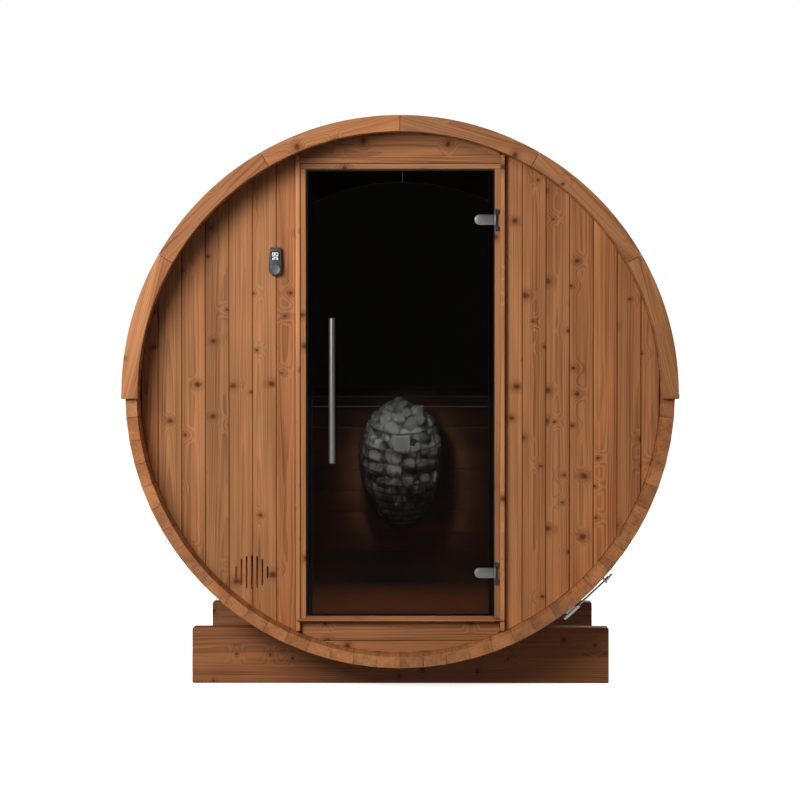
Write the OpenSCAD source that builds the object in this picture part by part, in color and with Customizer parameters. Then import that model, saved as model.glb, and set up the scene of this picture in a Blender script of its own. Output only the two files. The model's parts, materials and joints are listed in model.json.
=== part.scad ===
// Barrel sauna: a stave barrel lying on two cradles, with a recessed front wall
// that holds a glass door, a half-moon rear window and a wire-cage heater.
// Millimetres: X to the right, Y to the rear, Z up, the ground at Z = 0.

/* [Barrel] */
// Outside diameter of the stave barrel
barrel_d = 2060; // [2060:10:2200]
// Length of the barrel over its staves
barrel_len = 1800; // [1700:50:2600]
// Thickness of the staves and of the end walls
stave_t = 42; // [38:1:45]
// Height of the barrel's underside above the ground
barrel_lift = 91; // [85:1:110]
// How far the end walls stand back from the ends of the staves
wall_recess = 150; // [120:5:170]

/* [Roof] */
// Thickness of the roof covering
roof_t = 7.8; // [6:0.2:9]
// Height of the metal eaves edge
eaves_h = 18; // [12:1:25]
// Thickness of the curved trim boards on the two ends
trim_t = 28; // [20:1:35]
// How far the trim boards stand out past the staves
trim_over = 12; // [10:1:14]

/* [Doorway] */
// Clear width of the doorway between its jambs
door_open_w = 716; // [680:2:730]
// Height of the doorway's clear bottom above the ground
door_open_z0 = 274; // [270:1:290]
// Height of the doorway's clear top above the ground
door_open_z1 = 1971; // [1900:1:1980]
// Width of the jambs' front faces
jamb_w = 39; // [36:1:42]
// How far the door frame stands in front of the wall
frame_proud = 25; // [20:1:30]

/* [Door] */
// Thickness of the door's glass
glass_t = 8; // [6:1:10]
// Gap between the glass and the frame all round
door_gap = 5; // [5:1:7]
// Length of the door handle
handle_len = 550; // [400:10:700]
// Diameter of the door handle's bar
handle_d = 25; // [20:1:30]

/* [Cradles] */
// Length of each cradle beam across the barrel
cradle_len = 1606; // [1500:10:1700]
// Height of each cradle beam
cradle_h = 215; // [200:5:240]
// Thickness of each cradle beam
cradle_t = 90; // [70:5:110]
// Distance from the middle of the barrel to each cradle's middle
cradle_y = 555; // [450:5:600]

/* [Hoops] */
// Width of the steel hoops
hoop_w = 30; // [20:1:40]
// Distance from the middle of the barrel to each hoop
hoop_y = 700; // [650:5:780]
// Length of the hoops' threaded rods
rod_len = 250; // [220:5:260]

/* [Heater] */
// Greatest radius of the heater's cage
heater_r = 183; // [160:1:190]
// Height of the cage's widest place above the ground
heater_z = 850; // [800:5:900]
// Distance from the middle of the barrel back to the heater's middle
heater_y = 500; // [450:5:505]
// Diameter of the cage's wires
wire_d = 5; // [4:0.5:6]

/* [Hidden] */
$fn = 96;
round_fn = 720;

// fit is the clearance between coaxial curved faces that rest on each other.
fit = 0.3;
cut = 1;

r_out = barrel_d / 2;
r_in = r_out - stave_t;
axis_z = barrel_lift + r_out;
end_y = barrel_len / 2;

wall_front = -(end_y - wall_recess);
wall_back = wall_front + stave_t;
rear_front = -wall_back;
rear_back = -wall_front;
wall_r = r_in - fit;

hoop_t = 1.5;
hoop_r0 = r_out + fit / 2;
roof_r0 = r_out + fit / 2;
roof_r1 = roof_r0 + roof_t;
trim_r1 = r_out + trim_over;
trim_r0 = r_in - 7;
trim_step = 30;
trim_joint = 0.02;
eaves_t = 1.2;
eaves_x = trim_r1 + 4;
eaves_x0 = hoop_r0 + hoop_t + fit;

// The doorway: frame_x and frame_z are the frame's outer edges.
open_x = door_open_w / 2;
frame_x = open_x + jamb_w;
frame_z0 = door_open_z0 - 23;
frame_z1 = door_open_z1 + 43;
frame_front = wall_front - frame_proud;
frame_back = wall_back + 8;
strip_x = frame_x - 18;
frame_step = 8;
stop_w = 23;
stop_rise = 11;
glass_front = frame_front + 7;
glass_back = glass_front + glass_t;
seal_t = 6;
seal_front = glass_back + door_gap;
stop_front = seal_front + seal_t;

// The door's hinges: hinge_zs are the heights of their middles.
hinge_x = open_x + 2;
hinge_y = frame_front - 3;
hinge_r = 5;
pin_r = 3;
pin_play = 0.05;
hinge_h = 83;
sleeve_h = 42;
strap_len = 79;
strap_h = 40;
strap_t = 9;
back_plate = [45, 36, 4];
hinge_zs = [440, 1778];

handle_x = -257;
handle_z = 1132;
handle_reach = 55;
post_r = 8;
post_inset = 75;

panel_x = -472;
panel_w = 52;
panel_z1 = 1673;
panel_h = 108;
panel_t = 22;
knob_r = 20;
knob_t = 14;
knob_play = 0.4;
stem_r = 4;

vent_x = -564;
vent_z = 441;
vent_r = 64;
slot_w = 6;
slot_step = 20;

window_r = 880;
window_sill_h = 40;

floor_top = 285;
floor_t = 28;
floor_split = 110;
bearer = [45, 45];
bearer_x = 250;

rod_r = 4.5;
rod_off = 26;
lug_y = 85;
tension_a = -47.2;
hoop_gap_a = 4;

heater_up = 241;
heater_down = 324;
stone_scale = 0.92;
ring_count = 10;
rim_rise = 153;
cage_tilt = 23;

// ---- shared shapes ----

// The low and high ends of a length w about its middle.
function about(mid, w) = [mid - w / 2, mid + w / 2];

// A solid given by its low and high X, Y and Z.
module slab(x, y, z) translate([x[0], y[0], z[0]]) cube([x[1] - x[0], y[1] - y[0], z[1] - z[0]]);

// An upright outline in X and Z, made solid from y0 back to y1.
module upright(y0, y1) translate([0, y1, 0]) rotate([90, 0, 0]) linear_extrude(y1 - y0) children();

// A round disc about the barrel's axis.
module disc(r, y0, y1) translate([0, y1, axis_z]) rotate([90, 0, 0]) cylinder(r = r, h = y1 - y0, $fn = round_fn);

// A piece of tube about the barrel's axis; angles run from +X up towards +Z.
module shell(r0, r1, y0, y1, a0, a1)
    translate([0, 0, axis_z]) rotate([90, 0, 0]) rotate([0, 0, a0])
        rotate_extrude(angle = a1 - a0, $fn = round_fn) translate([r0, -y1]) square([r1 - r0, y1 - y0]);

module mirrored() mirror([1, 0, 0]) children();
module to_rear() mirror([0, 1, 0]) children();

// ---- barrel ----

module staves(a0) color("peru") shell(r_in, r_out, -end_y, end_y, a0, a0 + 45);

module cradle(y_mid)
    color("saddlebrown") upright(y_mid - cradle_t / 2, y_mid + cradle_t / 2) difference() {
        round_r = 8;
        union() {
            translate([-cradle_len / 2, 0]) square([cradle_len, cradle_h - round_r]);
            translate([-cradle_len / 2 + round_r, 0]) square([cradle_len - 2 * round_r, cradle_h]);
            for (s = [-1, 1]) translate([s * (cradle_len / 2 - round_r), cradle_h - round_r]) circle(round_r);
        }
        translate([0, axis_z]) circle(r_out + fit, $fn = round_fn);
    }

// Six curved boards that cover the stave ends of the upper half.
module roof_trim() color("sandybrown") for (i = [0:5]) {
    a0 = i == 0 ? -1 : i * trim_step + trim_joint;
    a1 = i == 5 ? 181 : (i + 1) * trim_step - trim_joint;
    shell(trim_r0, trim_r1, -end_y - trim_t, -end_y, a0, a1);
}

// The roof covering from the ridge down to the eaves, with a bed for each hoop.
module roof_side() color("dimgray") difference() {
    shell(roof_r0, roof_r1, -end_y, end_y, 0.1, 89.99);
    for (s = [-1, 1])
        shell(roof_r0 - cut, hoop_r0 + hoop_t + fit, s * hoop_y - hoop_w / 2 - 1, s * hoop_y + hoop_w / 2 + 1, -1, 91);
}

// The folded metal edge that sheds water past the staves.
module eaves() color("gray") upright(-end_y, end_y) translate([0, axis_z]) polygon([
    [eaves_x0, 0], [eaves_x, 0], [eaves_x, -eaves_h],
    [eaves_x - eaves_t, -eaves_h], [eaves_x - eaves_t, -eaves_t], [eaves_x0, -eaves_t]]);

// ---- front wall ----

module front_wall_side() intersection() {
    disc(wall_r, wall_front, wall_back);
    slab([frame_x, r_out], [wall_front, wall_back], [0, 2 * axis_z]);
}

module vent_slots() intersection() {
    upright(wall_front - cut, wall_back + cut) translate([vent_x, vent_z]) circle(vent_r);
    for (i = [-3:3])
        slab(about(vent_x + i * slot_step, slot_w), [wall_front - cut, wall_back + cut], about(vent_z, 2 * vent_r));
}

module front_wall_left() color("peru") difference() {
    mirrored() front_wall_side();
    vent_slots();
}

module front_wall_right() color("peru") front_wall_side();

module front_wall_between(z) color("peru") intersection() {
    disc(wall_r, wall_front, wall_back);
    slab([-strip_x, strip_x], [wall_front, wall_back], z);
}

module front_wall_top() front_wall_between([frame_z1, 2 * axis_z]);
module front_wall_bottom() front_wall_between([0, frame_z0]);

// ---- door frame ----

// A jamb: a proud outer strip from curve to curve, a stepped inner strip that
// ends under the head, and the stop behind the door.
module jamb() color("burlywood") {
    intersection() {
        disc(wall_r, frame_front, frame_back);
        slab([strip_x, frame_x], [frame_front, frame_back], [0, 2 * axis_z]);
    }
    translate([0, 0, frame_z0]) linear_extrude(door_open_z1 - frame_z0) polygon([
        [strip_x, frame_front + frame_step], [open_x, frame_front + frame_step], [open_x, stop_front],
        [open_x - stop_w, stop_front], [open_x - stop_w, frame_back], [strip_x, frame_back]]);
}

// The head lies on the jambs' inner strips; its upper half stands as proud as the jambs' outer strips.
module door_head() color("burlywood") {
    head_step = 20;
    rotate([90, 0, 90]) translate([0, 0, -strip_x]) linear_extrude(2 * strip_x) polygon([
        [frame_front + frame_step, door_open_z1], [frame_back, door_open_z1], [frame_back, frame_z1],
        [frame_front, frame_z1], [frame_front, door_open_z1 + head_step],
        [frame_front + frame_step, door_open_z1 + head_step]]);
    slab([-open_x + stop_w, open_x - stop_w], [stop_front, frame_back], [door_open_z1 - stop_rise, door_open_z1]);
}

// A sloping sill whose lip stands in front of the jambs, and the stop behind it.
module door_sill() color("burlywood") {
    lip_front = frame_front - 8;
    lip_back = frame_front - fit;
    lip = [frame_z0 + 5, frame_z0 + 11];
    top_front = seal_front - 2;
    fall = (door_open_z0 - lip[1]) / (top_front - lip_front);
    union() {
        along_x(open_x) polygon([
            [lip_front, lip[0]], [frame_front + frame_step, lip[0]], [frame_front + frame_step, frame_z0],
            [stop_front, frame_z0], [stop_front, door_open_z0], [top_front, door_open_z0], [lip_front, lip[1]]]);
        along_x(frame_x - 3) polygon([
            [lip_front, lip[0]], [lip_back, lip[0]], [lip_back, lip[1] + fall * (lip_back - lip_front)],
            [lip_front, lip[1]]]);
    }
    slab([-open_x + stop_w, open_x - stop_w], [stop_front + 0.05, frame_back], [frame_z0, door_open_z0 + stop_rise]);
}

// Draws an outline of Y and Z from -half to half along X.
module along_x(half) rotate([90, 0, 90]) translate([0, 0, -half]) linear_extrude(2 * half) children();

// The rubber strips on the frame's stop, which the glass closes against.
module door_seal() color("black") {
    edge = 2;
    z0 = door_open_z0 + edge;
    z1 = door_open_z1 - edge;
    seal_w = stop_w - 4;
    bar = stop_rise - edge - 1;
    for (s = [-1, 1]) slab(about(s * (open_x - edge - seal_w / 2), seal_w), [seal_front, stop_front], [z0, z1]);
    inner = open_x - edge - seal_w - 0.5;
    slab([-inner, inner], [seal_front, stop_front], [z0, z0 + bar]);
    slab([-inner, inner], [seal_front, stop_front], [z1 - bar, z1]);
}

// ---- hinges ----

module at_hinge(z) translate([hinge_x, hinge_y, z]) children();

// The fixed half: two knuckles let into the jamb's step, joined by the pin.
module hinge_leaf(z) color("silver") at_hinge(z) {
    end_h = (hinge_h - sleeve_h) / 2 - 0.3;
    cylinder(r = pin_r, h = hinge_h, center = true);
    for (s = [-1, 1]) translate([0, 0, s * (hinge_h - end_h) / 2]) {
        cylinder(r = hinge_r, h = end_h, center = true);
        translate([0, -hinge_r, -end_h / 2]) cube([11, frame_step + 3 + hinge_r, end_h]);
    }
}

// The door's half: a tongue with a round end in front of the glass, its sleeve
// round the pin, and a plate that clamps the glass from behind.
module hinge_strap(z) color("silver") {
    difference() {
        union() {
            intersection() {
                slab([hinge_x - strap_len, hinge_x], [glass_front - strap_t, glass_front], [z - strap_h, z + strap_h]);
                upright(glass_front - strap_t, glass_front) union() {
                    translate([hinge_x - strap_len + strap_h / 2, z]) circle(strap_h / 2);
                    translate([hinge_x - strap_len + strap_h / 2, z - strap_h / 2]) square([strap_len, strap_h]);
                }
            }
            at_hinge(z) cylinder(r = hinge_r, h = sleeve_h, center = true);
        }
        at_hinge(z) cylinder(r = pin_r + pin_play, h = hinge_h, center = true);
    }
    plate_x = hinge_x - 75;
    slab([plate_x, plate_x + back_plate[0]], [glass_back, glass_back + back_plate[2]],
        [z - back_plate[1] / 2, z + back_plate[1] / 2]);
}

// ---- door ----

module door_glass() color([0.1, 0.1, 0.1, 0.8])
    slab([-open_x + door_gap, open_x - door_gap], [glass_front, glass_back],
        [door_open_z0 + door_gap, door_open_z1 - door_gap]);

module door_handle_bar() color("silver")
    translate([handle_x, glass_front - handle_reach, handle_z - handle_len / 2]) cylinder(d = handle_d, h = handle_len);

module door_handle_posts() color("silver") difference() {
    for (s = [-1, 1])
        translate([handle_x, glass_front, handle_z + s * (handle_len / 2 - post_inset)])
            rotate([90, 0, 0]) cylinder(r = post_r, h = handle_reach);
    translate([handle_x, glass_front - handle_reach, 0]) cylinder(d = handle_d + 2 * pin_play, h = 2 * axis_z);
    slab(about(handle_x, 2 * handle_d), about(glass_front - handle_reach - handle_d / 2, handle_d), [0, 2 * axis_z]);
}

// ---- controller ----

// A slim wall unit with a half-round foot and a socket for the knob's stem.
module control_panel() color("dimgray") {
    z0 = panel_z1 - panel_h;
    corner = 8;
    half = panel_w / 2;
    difference() {
        upright(wall_front - panel_t, wall_front) translate([panel_x, 0]) union() {
            translate([0, z0 + half]) circle(half);
            translate([-half, z0 + half]) square([panel_w, panel_h - half - corner]);
            translate([-half + corner, z0 + half]) square([panel_w - 2 * corner, panel_h - half]);
            for (s = [-1, 1]) translate([s * (half - corner), panel_z1 - corner]) circle(corner, $fn = 48);
        }
        translate([panel_x, wall_front - panel_t + 12, z0 + half])
            rotate([90, 0, 0]) cylinder(r = stem_r + pin_play, h = 12 + cut);
    }
}

module control_knob() color("gray")
    translate([panel_x, wall_front - panel_t, panel_z1 - panel_h + panel_w / 2]) rotate([90, 0, 0]) {
        translate([0, 0, knob_play]) cylinder(r = knob_r, h = knob_t);
        translate([0, 0, -11]) cylinder(r = stem_r, h = 12);
    }

// ---- rear wall ----

module rear_wall_lower() color("peru") intersection() {
    disc(wall_r, rear_front, rear_back);
    slab([-r_out, r_out], [rear_front, rear_back], [0, axis_z - window_sill_h]);
}

module rear_wall_arch() color("peru") shell(window_r, wall_r, rear_front, rear_back, 0, 180);

module rear_window_sill() color("burlywood") intersection() {
    disc(wall_r, rear_front - 8, rear_back + 8);
    slab([-r_out, r_out], [rear_front - 8, rear_back + 8], [axis_z - window_sill_h, axis_z]);
}

module rear_window_glass() color([0.1, 0.1, 0.1, 0.8]) {
    mid = (rear_front + rear_back) / 2;
    intersection() {
        disc(window_r - fit, mid - glass_t / 2, mid + glass_t / 2);
        slab([-r_out, r_out], [rear_front, rear_back], [axis_z, 2 * axis_z]);
    }
}

// ---- floor ----

module floor_panel(y0, y1) color("peru") intersection() {
    disc(wall_r, y0, y1);
    slab([-r_out, r_out], [y0, y1], [floor_top - floor_t, floor_top]);
}

module floor_bearers() color("peru") for (s = [-1, 1])
    slab(about(s * bearer_x, bearer[0]), [wall_back + 10, rear_front - 10],
        [floor_top - floor_t - bearer[1], floor_top - floor_t]);

// ---- hoops ----

module hoop(y) color("silver")
    shell(hoop_r0, hoop_r0 + hoop_t, y - hoop_w / 2, y + hoop_w / 2,
        tension_a + hoop_gap_a, tension_a + 360 - hoop_gap_a);

// A threaded rod between two lugs, drawn with X outwards and Y along the hoop.
module tensioner(y) color("silver")
    translate([0, y, axis_z]) rotate([90, 0, 0]) rotate([0, 0, tension_a]) translate([r_out + rod_off, 0, 0]) union() {
        rotate([90, 0, 0]) cylinder(r = rod_r, h = rod_len, center = true);
        translate([0, -lug_y, 0]) rotate([90, 0, 0]) cylinder(r = 10, h = 70, center = true);
        translate([-rod_off + 2, -lug_y - 15, -hoop_w / 2]) cube([rod_off - 2, 30, hoop_w]);
        translate([-rod_off + 2, lug_y - 5, -hoop_w / 2]) cube([rod_off + 11, 10, hoop_w]);
        translate([0, lug_y + 9, 0]) rotate([90, 0, 0]) cylinder(r = 9, h = 8, $fn = 6, center = true);
        translate([0, -lug_y - 38.5, 0]) rotate([90, 0, 0]) cylinder(r = 9, h = 8, $fn = 6, center = true);
    }

// ---- heater ----

// Radius of the egg-shaped cage at height z above the ground.
function egg(z) = heater_r * sqrt(1 - pow((z - heater_z) / (z > heater_z ? heater_up : heater_down), 2));

// Height of the cage's i-th ring, closer together towards the foot.
function ring_z(i) = heater_z + 81 - 53.5 * i + 1.5 * i * i;

// How far a plane that leans forward, at height z on the egg's axis, reaches
// from that axis before it leaves the egg: s = -1 to the front, +1 to the rear.
function reach(z, s) =
    let (
        rise = tan(cage_tilt),
        h = z + s * 0.9 * rise * heater_r > heater_z ? heater_up : heater_down,
        r2 = pow(heater_r, 2),
        a = 1 + r2 * pow(rise / h, 2),
        b = r2 * rise * (z - heater_z) / pow(h, 2),
        c = r2 * (pow((z - heater_z) / h, 2) - 1)
    ) (s * sqrt(b * b - a * c) - b) / a;

module at_heater(z) translate([0, heater_y, z]) children();

// A wire ring that lies on the egg in a plane leaning forward.
module cage_ring(z) {
    back = reach(z, 1);
    front = reach(z, -1);
    mid = (back + front) / 2;
    mid_z = z + mid * tan(cage_tilt);
    half_length = (back - front) / 2 / cos(cage_tilt);
    half_width = sqrt(pow(egg(mid_z), 2) - pow(mid, 2));
    translate([0, mid, 0]) at_heater(mid_z) rotate([cage_tilt, 0, 0])
        rotate_extrude() translate([(half_length + half_width) / 2, 0]) circle(d = wire_d, $fn = 24);
}

module heater_rings() color("gray") {
    cage_ring(heater_z + rim_rise);
    for (i = [0:ring_count - 1]) cage_ring(ring_z(i));
}

module heater_stones() color("darkgray") {
    steps = 24;
    at_heater(heater_z) rotate_extrude() polygon([for (i = [0:steps])
        let (a = -90 + 180 * i / steps)
        [heater_r * stone_scale * cos(a), (a > 0 ? heater_up : heater_down) * stone_scale * sin(a)]]);
}

module heater_bracket() color("gray") {
    plate_y = rear_front - 20;
    slab([-60, 60], [plate_y, rear_front], [640, 1000]);
    for (x = [-35, 35], z = [654, 991]) slab(about(x, 16), [heater_y + 152, plate_y], about(z, 12));
}

// Where the plate's back stands at height z: it leans on the rim and the ring below.
function plate_back(z) = heater_y - heater_r - 2.7 + (z - heater_z) * 0.133;

// A strip of the plate between x0 and x1, from height z0 to z1.
module plate_strip(x0, x1, z0, z1)
    translate([x0, 0, 0]) rotate([90, 0, 90]) linear_extrude(x1 - x0) polygon([
        [plate_back(z0) - 2, z0], [plate_back(z0), z0], [plate_back(z1), z1], [plate_back(z1) - 2, z1]]);

// A small plain plate on the front of the cage, on two short legs.
module heater_plate() color("silver") union() {
    plate_strip(-32, 32, 862, 923);
    for (x = [-26, 20]) plate_strip(x, x + 6, 851, 863);
}

cradle(-cradle_y);  // cradle_front
cradle(cradle_y);  // cradle_rear
staves(45);  // staves_top_right
staves(0);  // staves_upper_right
staves(-45);  // staves_lower_right
staves(-90);  // staves_bottom_right
staves(-135);  // staves_bottom_left
staves(180);  // staves_lower_left
staves(135);  // staves_upper_left
staves(90);  // staves_top_left
roof_trim();  // roof_trim_front
to_rear() roof_trim();  // roof_trim_rear
mirrored() roof_side();  // roof_left
roof_side();  // roof_right
mirrored() eaves();  // eaves_left
eaves();  // eaves_right
front_wall_left();
front_wall_right();
front_wall_top();
front_wall_bottom();
mirrored() jamb();  // door_jamb_left
jamb();  // door_jamb_right
door_head();
door_sill();
door_seal();
hinge_leaf(hinge_zs[1]);  // hinge_leaf_upper
hinge_leaf(hinge_zs[0]);  // hinge_leaf_lower
control_panel();
rear_wall_lower();
rear_wall_arch();
rear_window_sill();
rear_window_glass();
floor_bearers();
floor_panel(frame_back + 1, floor_split - 1);  // floor_panel_front
floor_panel(floor_split + 1, rear_front);  // floor_panel_rear
hoop(-hoop_y);  // hoop_front
hoop(hoop_y);  // hoop_rear
tensioner(-hoop_y);  // tensioner_front
tensioner(hoop_y);  // tensioner_rear
heater_bracket();
heater_rings();
heater_stones();
heater_plate();
door_glass();
door_handle_bar();
door_handle_posts();
hinge_strap(hinge_zs[1]);  // hinge_strap_upper
hinge_strap(hinge_zs[0]);  // hinge_strap_lower
control_knob();
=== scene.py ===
"""Looks for a barrel sauna: boards, shingles, glass, fittings and a stone heater around its CAD frame."""

import functools
import json
import math
import random

import bmesh
import bpy
from bpy.props import FloatProperty, FloatVectorProperty, IntProperty, PointerProperty
from mathutils import Matrix, Vector, noise


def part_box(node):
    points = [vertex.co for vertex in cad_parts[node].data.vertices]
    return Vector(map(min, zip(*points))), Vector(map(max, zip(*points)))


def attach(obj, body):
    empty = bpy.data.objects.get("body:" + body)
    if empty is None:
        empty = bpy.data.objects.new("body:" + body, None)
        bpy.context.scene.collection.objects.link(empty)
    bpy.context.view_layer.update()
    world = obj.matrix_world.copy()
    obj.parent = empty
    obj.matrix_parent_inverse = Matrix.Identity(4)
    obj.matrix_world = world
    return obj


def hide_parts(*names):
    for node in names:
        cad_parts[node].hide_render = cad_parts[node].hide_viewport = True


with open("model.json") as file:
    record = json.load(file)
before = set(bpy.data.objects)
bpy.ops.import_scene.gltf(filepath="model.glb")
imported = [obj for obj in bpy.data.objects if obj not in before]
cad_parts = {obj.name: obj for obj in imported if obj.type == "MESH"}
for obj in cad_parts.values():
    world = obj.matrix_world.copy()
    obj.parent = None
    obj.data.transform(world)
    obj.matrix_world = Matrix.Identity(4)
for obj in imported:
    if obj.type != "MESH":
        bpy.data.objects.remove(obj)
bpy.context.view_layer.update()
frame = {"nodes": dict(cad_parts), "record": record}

bl_info = {
    "name": "Barrel Sauna",
    "version": (1, 0, 0),
    "blender": (4, 5, 0),
    "location": "3D View > Sidebar > Barrel Sauna",
    "description": "Builds the boards, roof, glass, fittings and heater of a barrel sauna",
    "category": "Add Mesh",
}

CABIN, DOOR, KNOB = "cabin", "door", "knob"


# ---- places taken from the frame ----

def low(node):
    return Vector(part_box(node)[0])


def high(node):
    return Vector(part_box(node)[1])


def middle(node):
    return (low(node) + high(node)) / 2


AXIS_Z = low("staves_upper_right").z
OUTER_R = high("staves_upper_right").x
INNER_R = (low("staves_top_right").z - AXIS_Z) / math.sin(math.radians(45))
WALL_R = high("rear_wall_arch").x
ROOF_R = high("roof_right").x
TRIM_R1 = high("roof_trim_front").x
TRIM_R0 = INNER_R - 0.007
STRIP_X = high("front_wall_top").x
FRAME_X = low("front_wall_right").x
OPEN_X = high("door_glass").x + 0.005
STOP_X = low("door_jamb_right").x
FRAME_FRONT = low("door_jamb_right").y
FRAME_BACK = high("door_jamb_right").y
STEP_Y = FRAME_FRONT + 0.008
STOP_Y = high("door_seal").y
WALL_Y = low("front_wall_right").y, high("front_wall_right").y
REAR_Y = low("rear_wall_arch").y, high("rear_wall_arch").y
JOINTS = {joint["name"]: joint for joint in frame["record"]["behaviour"]["joints"]}
HINGE = Vector(JOINTS["door_hinge"]["pos_m"])
HEATER_TOP = 1.091
HEATER_FOOT = 0.526
HEATER_WIDEST = 0.85
HEATER_R = 0.183


# ---- settings ----

def metres(name, description, default, least, most):
    return FloatProperty(
        name=name, description=description, default=default, min=least, max=most, unit="LENGTH")


def number(name, description, default, least, most):
    return FloatProperty(name=name, description=description, default=default, min=least, max=most)


def whole(name, description, default, least, most):
    return IntProperty(name=name, description=description, default=default, min=least, max=most)


def tint(name, description, default):
    return FloatVectorProperty(
        name=name, description=description, default=default, min=0, max=1, size=3, subtype="COLOR")


class TimberSettings(bpy.types.PropertyGroup):
    light: tint("Light grain", "Colour of the pale spring wood", (0.440, 0.184, 0.069))
    dark: tint("Dark grain", "Colour of the dark summer wood", (0.150, 0.048, 0.0135))
    knot: tint("Knots", "Colour of the knots", (0.085, 0.024, 0.004))
    ring: metres("Ring spacing", "Distance between growth rings", 0.0052, 0.001, 0.02)


class BoardSettings(bpy.types.PropertyGroup):
    staves: whole("Staves", "Staves around the barrel", 72, 8, 160)
    pitch: metres("Board pitch", "Width of the wall boards", 0.09, 0.04, 0.2)
    gap: metres("Gap", "Open joint between neighbouring boards", 0.0014, 0, 0.01)
    edge: metres("Eased edge", "Width of the boards' eased edges", 0.0028, 0.0005, 0.01)
    left_joint: metres(
        "Left joint", "Distance from the middle to the first joint on the left", 0.470, 0.41, 0.5)
    right_joint: metres(
        "Right joint", "Distance from the middle to the first joint on the right", 0.464, 0.41, 0.5)


class RoofSettings(bpy.types.PropertyGroup):
    courses: whole("Courses", "Rows of shingles on each side", 11, 4, 24)
    tabs: whole("Tabs", "Shingle tabs along the barrel", 9, 3, 24)
    colour: tint("Granules", "Colour of the mineral granules", (0.050, 0.051, 0.055))


class HeaterSettings(bpy.types.PropertyGroup):
    stone: metres("Stone size", "Mean radius of the heater's stones", 0.033, 0.015, 0.06)
    ribs: whole("Ribs", "Upright wires around the cage", 14, 4, 40)
    colour: tint("Stones", "Colour of the heater's stones", (0.30, 0.315, 0.31))


class StageSettings(bpy.types.PropertyGroup):
    distance: metres("Camera distance", "Distance from the camera to the front of the barrel", 11.0, 4, 40)
    eye_height: metres("Eye height", "Height of the camera above the ground", 1.3236, 0, 4)
    lens: number("Lens", "Focal length in millimetres", 132.17, 20, 300)
    key: number("Key light", "Power of the key light in watts", 280, 0, 5000)
    lamp: number("Heater lamp", "Power of the lamp over the heater in watts", 1.0, 0, 200)
    fill: number("Sky", "Strength of the light from above", 0.36, 0, 4)


# ---- shader maths ----

def maths(operation, swapped=False):
    """An operator for Number that adds one Math node."""
    def method(first, second):
        pair = (second, first) if swapped else (first, second)
        return first.shader.math(operation, *pair)
    return method


class Number:
    """A number socket; Python's operators on it add Math nodes to its shader."""

    __add__ = maths("ADD")
    __radd__ = maths("ADD", swapped=True)
    __sub__ = maths("SUBTRACT")
    __rsub__ = maths("SUBTRACT", swapped=True)
    __mul__ = maths("MULTIPLY")
    __truediv__ = maths("DIVIDE")
    __lt__ = maths("LESS_THAN")

    def __init__(self, shader, socket):
        self.shader = shader
        self.socket = socket


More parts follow.
